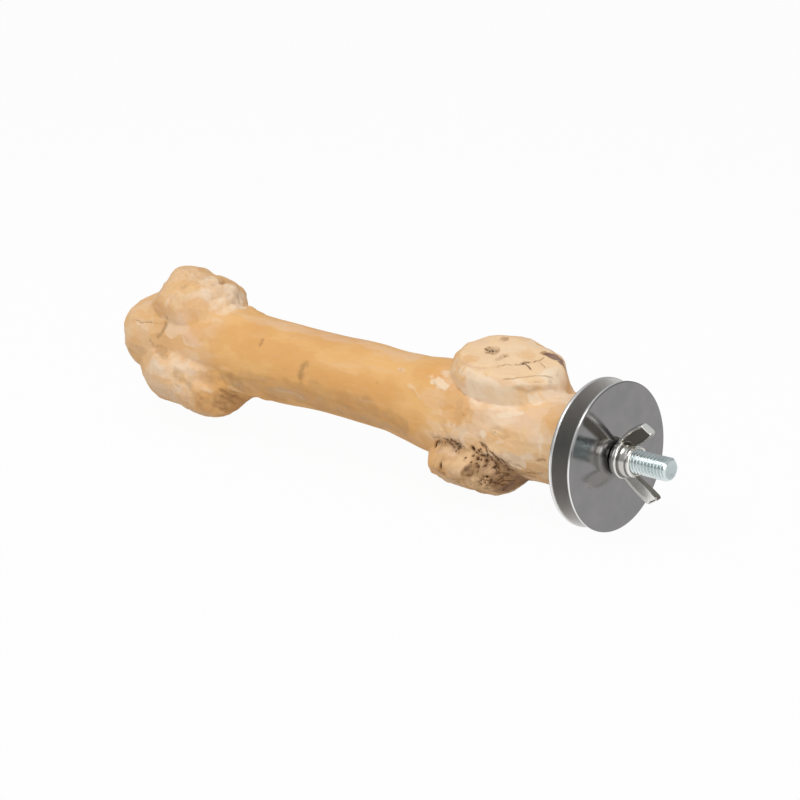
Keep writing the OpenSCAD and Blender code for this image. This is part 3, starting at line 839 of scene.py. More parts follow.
    def build(self) -> bpy.types.Object:
        """Makes the branch as one closed surface from the pilot hole's end to the far end."""
        points, tones = self.carve()
        deep = self.bore_deep * np.array([1, 0.66, 0.33, 0])
        hole = np.stack([self.seat_x - deep, np.full_like(deep, self.bore_d / 2)], -1)
        wy, wz = self.middle(np.array(self.long))
        shell = Shell()
        shell.tube(np.concatenate([turned(hole, self.angles()), points]),
                   (np.array([self.seat_x - self.bore_deep, 0, 0]),
                    np.array([self.seat_x - self.long, wy, wz])))
        obj = shell.mesh("branch_wood")
        spare = len(hole) * self.sides
        for tone, share in tones.items():
            values = np.zeros(shell.count, np.float32)
            values[spare:spare + share.size] = share.ravel()
            layer = obj.data.attributes.new(tone.value, "FLOAT", "POINT")
            layer.data.foreach_set("value", values)
        obj.data.materials.append(SandedWood().material())
        return obj


class Marks:
    """The branch's relief and tones while its features are put on, one by one."""

    # The crack's width that distances from cracks are scaled to, in mm
    CRACK_MM = 0.22
    # The distance from a crack of points that have none near
    FAR = 9.0
    # From this strength on a dent is drawn as a dark pit
    PIT_STRENGTH = 0.8
    # A patch's edge in its own half sizes: where it ends, how ragged it is and how soft
    EDGE, RAGGED, SOFT = 1.25, 0.4, 0.5
    # Scattered places stay within this many spreads of their middle
    WIDEST = 2.2

    def __init__(self, branch: Branch, s: Array, a: Array, base: Array,
                 normal: Array) -> None:
        """Starts level, untoned and far from any crack."""
        self.branch, self.s, self.a, self.base, self.normal = branch, s, a, base, normal
        self.height = np.zeros(s.shape)
        self.tones = {tone: np.zeros(s.shape) for tone in Tone}
        self.tones[Tone.GAP] += self.FAR
        self.ragged = Unevenness(5)
        self.rng = np.random.default_rng(41)

    def whittle(self, depth: Array) -> None:
        """Adds the shallow cuts of the knife that peeled the bark.

        Each cut is a bowl about a middle, twice as long as wide, and a point belongs to the
        nearest. Its height is depth * (d / size)^2, so ridges stand where cuts meet.

        Args:
            depth: how high the ridges stand, in mm.
        """
        count, size, reach, squash = 1000, 2.6, 6.0, np.array([0.42, 1, 1])
        s = self.rng.uniform(1, self.branch.long - 3, count)
        a = self.rng.uniform(0, 360, count)
        middles = self.branch.surface(s, a)[0] * squash
        tone = self.rng.uniform(0, 1, count)
        wander = np.stack([self.ragged.layers(self.base + 31 * k, 3.5, 3)
                           for k in range(3)], -1)
        places = (self.base + 0.9 * wander) * squash
        for block in np.array_split(np.arange(len(places)), 60):
            here = places[block]
            near = np.abs(middles[:, 0] - here[..., 0].mean()) < reach
            gaps = np.linalg.norm(here[:, :, None] - middles[near], axis=-1)
            first = gaps.argmin(-1)
            q = np.take_along_axis(gaps, first[..., None], -1)[..., 0] / size
            self.height[block] += depth[block] * (np.minimum(q, 1.3) ** 2 - 0.6)
            self.tones[Tone.CHIP][block] = tone[near][first]

    def near(self, centres: Array, reach: float) -> tuple[tuple[Array, Array], Array]:
        """Finds the grid points near some places.

        Args:
            centres: places in mm.
            reach: how far to look, in mm.

        Returns:
            The grid's indices, and their distances to every centre.
        """
        low, high = centres.min(0) - reach, centres.max(0) + reach
        inside = np.nonzero(((self.base > low) & (self.base < high)).all(-1))
        gap = self.base[inside][:, None] - centres[None]
        return inside, np.sqrt((gap**2).sum(-1))

    def raise_tone(self, tone: Tone, where: Any, share: Array) -> None:
        """Blends a share over a tone, so that the tone never passes 1."""
        old = self.tones[tone][where]
        self.tones[tone][where] = 1 - (1 - old) * (1 - np.clip(share, 0, 1))

    def scatter(self, at: Place, spread: Place, count: int) -> Array:
        """Scatters places round one, thinning out with distance, and returns their points."""
        s = at[0] + spread[0] * self.rng.normal(0, 1, count).clip(-self.WIDEST, self.WIDEST)
        a = at[1] + spread[1] * self.rng.normal(0, 1, count).clip(-self.WIDEST, self.WIDEST)
        return self.branch.surface(s, a)[0]

    def put(self, item: Any) -> None:
        """Puts one feature on, by its kind."""
        {Patch: self.patch, Crease: self.crease, Dent: self.dent, Crumble: self.crumble,
         Nodules: self.nodules}[type(item)](item)

    def patch(self, item: Patch) -> None:
        """Adds an oval of tone, 1 inside and fading over a ragged edge."""
        ds = self.s - item.at[0]
        off = self.a - item.at[1]
        r = np.hypot(self.base[..., 1], self.base[..., 2])
        dw = r * np.radians(off - 360 * np.round(off / 360))
        lean = np.radians(item.lean)
        u = (ds * np.cos(lean) + dw * np.sin(lean)) / item.long
        w = (dw * np.cos(lean) - ds * np.sin(lean)) / item.wide
        q = np.hypot(u, w)
        k = np.nonzero(q < 1.8)
        size = np.clip(min(item.long, item.wide), 0.6, 4)
        rough = self.ragged.layers(self.base[k], size, 3)
        share = smooth((self.EDGE - q[k] + self.RAGGED * rough) / self.SOFT)
        self.raise_tone(item.tone, k, item.strength * share)

    def crease(self, item: Crease) -> None:
        """Adds a groove of rounded section, depth * exp(-(d / width)^2), along the line.

        A dark one also gives its points the distance from the line, with a sign for the
        side, so that the material can draw it finer than the mesh.
        """
        path = np.array(item.path)
        t = np.linspace(0, len(path) - 1, 14 * len(path))
        s, a = (np.interp(t, np.arange(len(path)), path[:, k]) for k in (0, 1))
        line = self.branch.surface(s, a)[0]
        k, gaps = self.near(line, 3 * item.width + 1)
        wander = 0.3 * self.ragged.layers(self.base[k], 1.4, 2)
        first = np.argmin(gaps, axis=1)
        fade = smooth(np.minimum(first, len(t) - 1 - first) / 9 + 0.1)
        away = self.base[k] - line[first]
        side = np.einsum("ij,ij->i", np.cross(np.gradient(line, axis=0)[first],
                                              self.normal[k]), away)
        signed = np.sign(side) * gaps.min(1) + wander
        share = np.exp(-((signed / (item.width * (0.5 + 0.5 * fade))) ** 2)) * fade
        self.height[k] -= item.depth * share
        if item.tone is not Tone.STAIN:
            self.raise_tone(item.tone, k, item.strength * share)
            return
        self.draw(k, signed * self.CRACK_MM / item.width, item.strength * fade)

    def draw(self, k: tuple[Array, Array], gap: Array, strength: Array) -> None:
        """Hands the material the distance to a crack or a pit wherever it is the nearest.

        Args:
            k: the grid's indices.
            gap: distances in mm, scaled as if the crack were CRACK_MM wide.
            strength: how dark it is drawn at each point.
        """
        strength = strength * smooth((1.0 - np.abs(gap)) / 0.35)
        closer = (strength > 0) & (np.abs(gap) < np.abs(self.tones[Tone.GAP][k]))
        k = (k[0][closer], k[1][closer])
        self.tones[Tone.GAP][k] = gap[closer]
        self.tones[Tone.CRACK][k] = strength[closer]

    def dent(self, item: Dent) -> None:
        """Adds a hollow, depth * exp(-(d / radius)^2), and a rim that stands up round it."""
        centre = self.branch.surface(np.array([item.at[0]]), np.array([item.at[1]]))[0]
        k, gaps = self.near(centre, 3 * item.radius)
        q = gaps[:, 0] / item.radius + 0.16 * self.ragged.layers(self.base[k], 1.6, 2)
        share = np.exp(-np.maximum(q, 0) ** 2)
        self.height[k] -= item.depth * share
        self.height[k] += item.rim * np.exp(-(((q - 1.35) / 0.35) ** 2))
        self.raise_tone(Tone.STAIN, k, 0.7 * item.strength * np.exp(-((q / 0.85) ** 2)))
        if item.strength >= self.PIT_STRENGTH:
            side = np.sign(self.tones[Tone.GAP][k])
            gap = side * np.maximum(q - 0.65, 0.01) * item.radius
            self.draw(k, gap, np.full(q.shape, item.strength))

    def crumble(self, item: Crumble) -> None:
        """Adds many small hollows, the deepest of which counts at each point."""
        centres = self.scatter(item.at, item.spread, item.count)
        size = self.rng.uniform(*item.radius, item.count)
        k, gaps = self.near(centres, 4 * item.radius[1])
        share = np.exp(-((gaps / size) ** 2)).max(1)
        self.height[k] -= item.depth * share
        self.raise_tone(Tone.STAIN, k, item.strength * share**1.3)
        haze = np.exp(-((gaps / (2.2 * item.radius[1])) ** 2)).max(1)
        self.raise_tone(Tone.PITTED, k, 0.7 * item.strength * haze)

    def nodules(self, item: Nodules) -> None:
        """Adds grains: with d1 and d2 the distances to the nearest two middles, the height
        is that of a dome of the grain's size, and the creases are where d2 - d1 is small."""
        centres = self.scatter(item.at, item.spread, item.count)
        k, gaps = self.near(centres, item.size)
        two = np.partition(gaps, 1, axis=1)[:, :2]
        dome = np.sqrt(np.maximum(0, 1 - (two[:, 0] / item.size) ** 2))
        gap = np.exp(-(((two[:, 1] - two[:, 0]) / (0.22 * item.size)) ** 2))
        self.height[k] += item.height * (dome - 0.45 * gap * dome)
        self.raise_tone(Tone.STAIN, k, item.strength * gap * dome)


@dataclass
class HangerBolt:
    """The double-ended bolt: M6 thread outside, wood thread inside the branch."""

    bolt_d: float = 6.0
    pitch: float = 1.0
    seat_x: float = -1.1
    # How far the machine thread stands out of the seat, and the slope at its end
    out: float = 22.9
    chamfer: float = 0.6
    # The wood thread: crest and core diameters, pitch, depth in the wood and pointed length
    wood_d: float = 5.8
    core_d: float = 4.0
    wood_pitch: float = 2.6
    into: float = 26.0
    point: float = 4.0
    # In pitches: the machine thread's depth, the crests' flats and where the flanks end
    deep: float = 0.6134
    crest: float = 0.18
    wood_crest: float = 0.1
    flank_end: float = 0.44
    # The mesh: points round a ring, and rings inside the wood, outside it and on the end
    sides: int = 96
    rings_in: int = 190
    rings_out: int = 420
    rings_end: int = 18

    def ridge(self, x: Array, a: Array, pitch: float, flat: float) -> Array:
        """Returns how high a right-hand ridge stands, as a share.

        With f the distance from the ridge's middle in pitches, 0 to 0.5, the share falls
        evenly from 1 at half the crest's flat to 0 at the root.
        """
        f = (x / pitch - a / (2 * np.pi)) % 1
        f = np.minimum(f, 1 - f)
        return 1 - np.clip((f - flat / 2) / (self.flank_end - flat / 2), 0, 1)

    def build(self) -> bpy.types.Object:
        """Makes the bolt: r(x, a) with the ridge's phase turning once for each pitch."""
        tip, seat, back = self.seat_x + self.out, self.seat_x - 0.1, self.seat_x - self.into
        a = np.radians(round_about(self.sides))[None]
        x = np.concatenate([np.linspace(back, seat, self.rings_in),
                            np.linspace(seat + 0.05, tip - 0.02, self.rings_out)])[:, None]
        r_out = self.bolt_d / 2 - self.deep * self.pitch * (
            1 - self.ridge(x, a, self.pitch, self.crest))
        ridge = self.ridge(x, a, self.wood_pitch, self.wood_crest) ** 2
        core = self.core_d / 2 * smooth((x - back) / self.point + 0.12)
        r_in = np.minimum(core + (self.wood_d - self.core_d) / 2 * ridge, self.wood_d / 2)
        r = np.where(x > seat, r_out, r_in)
        r = np.minimum(r, self.bolt_d / 2 - np.maximum(0, x - (tip - self.chamfer)))
        rings = np.stack(np.broadcast_arrays(x, r * np.cos(a), r * np.sin(a)), -1)
        # The sheared free end: rings that draw in to the middle over a slightly rough face
        draw = (self.bolt_d / 2 - self.chamfer) * np.linspace(0.97, 0.05, self.rings_end)[:, None]
        face = np.stack(np.broadcast_arrays(tip + 0 * draw, draw * np.cos(a),
                                            draw * np.sin(a)), -1)
        rough = Unevenness(3)
        hollow = 0.16 * smooth(1.4 - draw / 1.8)
        face[..., 0] -= 0.06 + hollow + 0.05 * rough.at(face, 0.9) * smooth(3 - 1.3 * draw)
        shell = Shell()
        shell.tube(np.concatenate([rings, face]),
                   (np.array([back, 0, 0]), np.array([tip - 0.22, 0, 0])))
        obj = shell.mesh("stud_thread")
        for finish in (ZINC, SHEARED_END):
            obj.data.materials.append(finish.material())
        around = (len(rings) + len(face) - 1) * self.sides
        segment = np.zeros(len(obj.data.polygons), np.int32)
        segment[around - (len(face) - 1) * self.sides:around] = 1
        segment[-self.sides:] = 1
        obj.data.polygons.foreach_set("material_index", segment)
        return obj


class Side(Enum):
    """The two clamp washers, by the x of the face towards the wood."""

    INNER = -1.0
    OUTER = 4.8


@dataclass
class ClampWasher:
    """A flat stamped washer with rolled edges."""

    side: Side
    d: float = 38.0
    t: float = 1.0
    hole: float = 6.4
    edge: float = 0.25
    # The mesh: points round a ring, rings on a face and steps round a rolled edge
    sides: int = 180
    face_rings: int = 34
    edge_steps: int = 7
    # How far the faces and the rim stay inside the exact size
    wave: float = 0.02
    rim_in: float = 0.01

    def build(self) -> bpy.types.Object:
        """Makes the washer as a closed profile turned about X, its faces a little wavy.

        The faces that look at each other get a lighter tint than the others, painted light in the
        shaded gap, and the others a dark tint that paints the dim surroundings they reflect. Only
        the flat band between the rolled edges gets a near-white tint, partly polish and partly a
        painted highlight.
        """
        x0, e = self.side.value, self.edge
        small, out = self.hole / 2, self.d / 2 - self.rim_in - self.edge
        q = np.radians(np.linspace(0, 90, self.edge_steps))
        flat = np.linspace(small + 0.35, out, self.face_rings)
        parts = [
            np.stack([np.full_like(flat, x0), flat], -1),
            np.stack([x0 + e - e * np.cos(q), out + e * np.sin(q)], -1)[1:],
            np.stack([x0 + self.t - e + e * np.sin(q), out + e * np.cos(q)], -1),
            np.stack([np.full_like(flat, x0 + self.t), flat[::-1]], -1)[1:],
            np.array([[x0 + self.t - 0.05, small + 0.1], [x0 + self.t - 0.16, small],
                      [x0 + 0.16, small], [x0 + 0.05, small + 0.1]])]
        rings = turned(np.concatenate(parts), round_about(self.sides))
        rough = Unevenness(17 + int(x0 > 0))
        push = self.wave * (rough.at(rings, 13.0) + 0.3 * rough.at(rings, 4.0) - 1.3)
        middle = x0 + self.t / 2
        rings[..., 0] += np.where(rings[..., 0] > middle, 1, -1) * push
        shell = Shell()
        shell.tube(rings, loop=True)
        obj = shell.mesh("washer_" + self.side.name.lower())
        for finish in (DIMMED_SATIN_FACE, LIGHTENED_GAP_FACE, HIGHLIGHT_RIM):
            obj.data.materials.append(finish.material())
        low = 1 if self.side is Side.OUTER else 0
        flat_rings, edge_rings = len(parts[0]), len(parts[1])
        segment = np.repeat([low, 2, 1 - low, 0], [
            flat_rings + edge_rings - 1, 1, len(parts[2]) + len(parts[3]), len(parts[4])])
        obj.data.polygons.foreach_set("material_index", np.repeat(segment, self.sides))
        return obj


@dataclass
class WingNut:
    """The cast wing nut: a ringed hub and two dished wings."""

    base_x: float = 5.9
    hub_d: float = 9.8
    high: float = 5.9
    bore: float = 6.1
    # The wings: across both, how far they reach along X, and their thickness at tip and root
    span: float = 21.4
    reach: float = 11.5
    tip_t: float = 2.2
    root_t: float = 1.7
    # Degrees that the nut stands turned, and how deep a wing's faces are dished, as a share
    turn: float = 11.0
    dish: float = 0.42
    # The mesh: points round the hub, sections along a wing and points round a section
    hub_sides: int = 120
    sections: int = 84
    section_sides: int = 72
    # Stations: order, outer edge's reach and span, inner edge's reach and span, thickness
    stations: Array = field(default_factory=lambda: np.array([
        [0, 0.00, 0.31, 0.40, 0.31, 0.4], [1, 0.05, 0.43, 0.47, 0.37, 0.0],
        [2, 0.14, 0.54, 0.58, 0.45, 0.1], [3, 0.26, 0.67, 0.70, 0.53, 0.3],
        [4, 0.40, 0.80, 0.82, 0.62, 0.6], [5, 0.54, 0.90, 0.92, 0.71, 0.9],
        [6, 0.66, 0.97, 0.98, 0.77, 1.0], [7, 0.74, 1.00, 1.00, 0.82, 0.8]]))

    def wing(self) -> tuple[Array, Array, Array, Array]:
        """Works out one wing that stands along Z.

        A section across the wing is a rounded oblong: with c and s the cosine and sine
        round it, it reaches (1 + c^0.4) / 2 across and s^0.5 deep, keeping c's and s's
        signs. Its faces are dished by dish between a wide outer rim, a narrow inner rim
        and the tip's rim.

        Returns:
            The sections as rings, how bright the rims are painted, partly as wear and partly as
            highlight, how bright a web painted as lit is at each point, and the point that closes
            the tip.
        """
        k = np.linspace(0, 7, self.sections)
        u0, v0, u1, v1, t = (through(self.stations, k, c)[:, None] for c in range(1, 6))
        a = np.linspace(0, 2 * np.pi, self.section_sides, endpoint=False)[None]
        c, s = np.cos(a), np.sin(a)
        wide = (1 + np.sign(c) * np.abs(c) ** 0.4) / 2
        thick = self.root_t + (self.tip_t - self.root_t) * t
        half = self.span / 2
        broad = np.hypot(self.reach * (u1 - u0), half * (v1 - v0))
        web = (smooth((wide * broad - 0.7) / 0.3) * smooth(((1 - wide) * broad - 0.35) / 0.3)
               * smooth((6.75 - k) / 0.5)[:, None] * smooth(k / 0.8)[:, None])
        deep = np.sign(s) * np.abs(s) ** 0.5 * (1 - self.dish * web)
        rings = np.stack([self.reach * (u0 + (u1 - u0) * wide), deep * thick / 2,
                          half * (v0 + (v1 - v0) * wide)], -1)
        # The tip is rounded over by drawing the last section in towards its middle
        end = rings[-1].mean(0)
        caps = np.stack([end + (rings[-1] - end) * m + np.array([0.1, 0, 0.14]) * h
                         for m, h in ((0.97, 0.5), (0.88, 0.85), (0.6, 1.0), (0.3, 1.0))])
        rings = np.concatenate([rings, caps])
        rings = np.minimum(rings, [self.reach, self.tip_t, half])
        rings = np.maximum(rings, [0.02, -self.tip_t, 0]) + [self.base_x, 0, 0]
        corner = np.where(wide > 0.9, smooth((np.abs(deep) - 0.78) / 0.12), 1.0)
        bright = (1 - web) * corner + 0 * deep
        rim = np.concatenate([bright, np.ones((len(caps), len(c[0])))])
        web = np.concatenate([0.92 * web + 0 * deep, np.zeros((len(caps), len(c[0])))])
        return rings, rim, web, rings[-1].mean(0)

    def hub(self) -> Array:
        """Works out the hub's profile: a flange, a fine groove, a neck and a rounded top."""
        r, h, b = self.hub_d / 2, self.high, self.bore / 2
        shares = np.array([
            [0.0, 0.82], [0.01, 0.85], [0.10, 0.93], [0.22, 0.985], [0.26, 1.0], [0.38, 1.0],
            [0.40, 0.985], [0.41, 0.955], [0.43, 0.94], [0.45, 0.945], [0.60, 0.90],
            [0.74, 0.855], [0.76, 0.835], [0.785, 0.83], [0.80, 0.845], [0.92, 0.815],
            [0.965, 0.79], [0.99, 0.75], [1.0, 0.715]])
        bore = np.array([[h, b + 0.35], [h - 0.3, b], [0.3, b], [0, b + 0.3]])
        return np.concatenate([shares * [h, r], bore]) + [self.base_x, 0]

    def build(self) -> bpy.types.Object:
        """Makes the hub and both wings as one piece."""
        shell = Shell()
        profile = self.hub()
        shell.tube(turned(profile, round_about(self.hub_sides)), loop=True)
        rings, rim, web, tip = self.wing()
        root = rings[0].mean(0)
        for side in (0, 180):
            q = np.radians(side + self.turn)
            spin = np.array([[1, 0, 0], [0, np.cos(q), -np.sin(q)], [0, np.sin(q), np.cos(q)]])
            shell.tube(rings @ spin.T, (spin @ root, spin @ tip))
        obj = shell.mesh("nut_with_wings")
        # Where the plating is painted lighter, partly as worn plating and partly as painted
        # highlights: the wings' rims, the flange, the top edge and the lower wing's web, which is
        # painted as if lit
        x = (profile[:, 0] - self.base_x) / self.high
        edges = np.exp(-(((x[:, None] - [0.26, 0.38, 0.8, 0.965]) / 0.03) ** 2)).max(1)
        wings = [np.append(share, [0, 1]) for share in (rim, np.maximum(rim, web))]
        highlit_wear = np.concatenate([np.repeat(0.45 + 0.55 * edges, self.hub_sides), *wings])
        layer = obj.data.attributes.new("highlit_wear", "FLOAT", "POINT")
        layer.data.foreach_set("value", highlit_wear.astype(np.float32))
        obj.data.materials.append(NICKEL.material())
        return obj


@dataclass(frozen=True)
class SandedWood:
    """Bare debarked hardwood, knife-peeled and sanded: a dry, slightly silky surface.

    The eye sees honey and straw tones in long soft blotches, a patchwork of paler and
    pinker knife cuts at the knots, dark brown in cracks and pits, and no gloss beyond a
    broad sheen.
    """

    straw: str = "EBB876"
    honey: str = "E0A560"
    light: str = "F0CDA2"
    pale: str = "F8E6CD"
    pink: str = "E9C5A6"
    umber: str = "A0754A"
    stain: str = "4D301B"
    bark: str = "785C56"
    sawn: str = "F3D2A8"
    # Real sizes in mm: blotches, grain length and width, fibres, flecks and pits
    blotch_mm: float = 16.0
    grain_mm: tuple[float, float] = (22.0, 1.6)
    fibre_mm: tuple[float, float] = (5.0, 0.45)
    fleck_mm: float = 1.1
    pit_mm: float = 0.75
    # The knife's cuts break up into patches, and the cracks have breaks
    patch_mm: tuple[float, float] = (5.0, 2.6)
    break_mm: float = 2.0
    # How far from its line a crack is fully dark, and where it ends
    crack_mm: tuple[float, float] = (0.03, 0.17)
    roughness: tuple[float, float] = (0.6, 0.74)

    def material(self) -> bpy.types.Material:
        """Builds the material: straw, with layers of colour laid over it one by one.

        A layer's share is its top value times its factors. A factor is a noise or a tone of
        the marks, taken as it is or soft-stepped between two ends.
        """
        mat, tree = fresh("sanded bare hardwood")
        place = add(tree, "ShaderNodeTexCoord").outputs["Object"]
        tone = {kind: add(tree, "ShaderNodeAttribute",
                          {"attribute_name": kind.value}).outputs["Fac"] for kind in Tone}
        noises = []
        for long, wide, detail in (
            (self.blotch_mm, 0.6 * self.blotch_mm, 3.0), (*self.grain_mm, 4.0),
            (*self.fibre_mm, 4.0), (self.fleck_mm, self.fleck_mm, 3.0),
            (*self.patch_mm, 4.0), (self.break_mm, self.break_mm, 2.0),
        ):
            at = add(tree, "ShaderNodeVectorMath", {"operation": "MULTIPLY"}, i0=place,
                     i1=(1 / (long * MM), 1 / (wide * MM), 1 / (wide * MM)))
            noises.append(add(tree, "ShaderNodeTexNoise", Vector=at.outputs[0], Scale=1.0,
                              Detail=detail, Roughness=0.6).outputs["Fac"])
        blotch, grain, fibre, fleck, patch, breaks = noises

        def product(top: float, *factors: tuple[Any, ...]) -> bpy.types.NodeSocket:
            """Multiplies top by each factor: a value, and maybe the ends of its soft step."""
            for value, *ends in factors:
                if ends:
                    value = add(tree, "ShaderNodeMapRange", {"interpolation_type": "SMOOTHSTEP"},
                                i0=value, i1=ends[0], i2=ends[1]).outputs[0]
                top = add(tree, "ShaderNodeMath", {"operation": "MULTIPLY"}, i0=top,
                          i1=value).outputs[0]
            return top

        # The edges of the marks' tones, broken up with noise
        ragged = {}
        for kind, rough in ((Tone.HONEY, 1.1), (Tone.PINK, 1.1), (Tone.PALE, 1.1),
                            (Tone.UMBER, 0.6), (Tone.BARK, 1.1)):
            shift = add(tree, "ShaderNodeMath", {"operation": "MULTIPLY_ADD"}, i0=patch,
                        i1=rough, i2=-rough / 2)
            ragged[kind] = add(tree, "ShaderNodeMath", {"operation": "ADD"}, i0=tone[kind],
                               i1=shift.outputs[0]).outputs[0]
        # Crumbly pits: bent cells, of which the more are dark the more a place is pitted
        bend = add(tree, "ShaderNodeTexNoise", Vector=place, Scale=1 / (1.2 * MM), Detail=2.0)
        bent = add(tree, "ShaderNodeVectorMath", {"operation": "MULTIPLY_ADD"},
                   i0=bend.outputs["Color"], i1=(0.35 * MM,) * 3, i2=place)
        cells = add(tree, "ShaderNodeTexVoronoi", Vector=bent.outputs[0],
                    Scale=1 / (self.pit_mm * MM)).outputs
        chance = add(tree, "ShaderNodeSeparateColor", Color=cells["Color"]).outputs
        odds = add(tree, "ShaderNodeMath", {"operation": "SUBTRACT"}, i0=tone[Tone.PITTED],
                   i1=chance[0])
        reach = add(tree, "ShaderNodeMath", {"operation": "MULTIPLY_ADD"}, i0=chance[1], i1=0.3,
                    i2=cells["Distance"])
        pits = product(1.0, (odds.outputs[0], 0.0, 0.2), (reach.outputs[0], 0.6, 0.34))
        # Cracks: a dark line with a brown edge, ragged, and broken here and there
        shift = add(tree, "ShaderNodeMath", {"operation": "MULTIPLY_ADD"}, i0=fleck, i1=0.3,
                    i2=-0.15)
        line = add(tree, "ShaderNodeMath", {"operation": "ADD"}, i0=tone[Tone.GAP],
                   i1=shift.outputs[0])
        gap = add(tree, "ShaderNodeMath", {"operation": "ABSOLUTE"},
                  i0=line.outputs[0]).outputs[0]
        deep = product(1.0, (tone[Tone.CRACK],), (breaks, 0.2, 0.5))
        dark, end = self.crack_mm
        crack = product(0.85, (deep, 0.2, 0.9), (gap, end, dark))

        light, chip = tone[Tone.LIGHT], tone[Tone.CHIP]
        colour = linear(self.straw)
        for over, top, *factors in (
            # Honey blotches on straw, lighter at the ends, with pink and honey grain
            (self.honey, 0.7, (blotch, 0.36, 0.66)),
            (self.light, 0.75, (light,)),
            (self.pink, 0.45, (grain, 0.52, 0.8)),
            (self.honey, 0.3, (grain, 0.48, 0.25)),
            # The patchwork of knife cuts, of which some are pinker, deeper or paler
            (self.pink, 0.4, (light,), (chip, 0.5, 0.66), (patch, 0.2, 0.5)),
            (self.honey, 0.4, (light,), (chip, 0.3, 0.16), (patch, 0.2, 0.5)),
            (self.pale, 0.35, (light,), (chip, 0.78, 0.9), (patch, 0.2, 0.5)),
            # The sawn face, and the tones of the marks, of which some umber ones are painted
            # shade, some pale ones painted light and one pink strip partly painted sheen
            (self.sawn, 0.75, (tone[Tone.SAWN],)),
            (self.honey, 0.5, (ragged[Tone.HONEY], 0.1, 0.9)),
            (self.pink, 0.5, (ragged[Tone.PINK], 0.1, 0.9)),
            (self.pale, 0.6, (ragged[Tone.PALE], 0.05, 0.95)),
            (self.umber, 0.7, (ragged[Tone.UMBER], 0.05, 0.95)),
            # Flecks on the knots, dark fibres, pits, bark left on, stains and cracks
            (self.umber, 0.12, (tone[Tone.KNOTTY],), (fleck, 0.6, 0.4)),
            (self.umber, 0.2, (fibre, 0.66, 0.85)),
            (self.umber, 0.55, (tone[Tone.PITTED],), (fleck, 0.6, 0.35)),
            (self.stain, 0.9, (pits,)),
            (self.bark, 0.85, (ragged[Tone.BARK], 0.2, 0.8)),
            (self.stain, 1.0, (tone[Tone.STAIN],), (fleck, 0.15, 0.5)),
            (self.umber, 0.85, (deep,), (gap, 2.4 * end, dark)),
            (self.stain, 1.0, (crack,)),
        ):
            colour = add(tree, "ShaderNodeMix", {"data_type": "RGBA"}, i6=colour,
                         i7=linear(over), Factor=product(top, *factors)).outputs[2]

        # Fibres stand up, pits and cracks go in, and the knots are crumbly
        relief = 0.0
        for value, high in ((fibre, 0.12), (pits, -0.5), (crack, -0.4)):
            relief = add(tree, "ShaderNodeMath", {"operation": "MULTIPLY_ADD"}, i0=value,
                         i1=high, i2=relief).outputs[0]
        bump = add(tree, "ShaderNodeBump", Height=relief, Strength=0.7, Distance=1.0 * MM)
        crumb = add(tree, "ShaderNodeBump", Strength=0.5, Distance=0.5 * MM,
                    Height=product(1.0, (tone[Tone.KNOTTY],), (fleck,)), Normal=bump.outputs[0])
        rough = add(tree, "ShaderNodeMapRange", i0=grain, i1=0.3, i2=0.7, i3=self.roughness[0],
                    i4=self.roughness[1])
        shader = add(tree, "ShaderNodeBsdfPrincipled", Base_Color=colour, IOR=1.45,
                     Roughness=rough.outputs[0], Normal=crumb.outputs[0],
                     Specular_IOR_Level=0.35)
        add(tree, "ShaderNodeOutputMaterial", Surface=shader.outputs[0])
        return mat


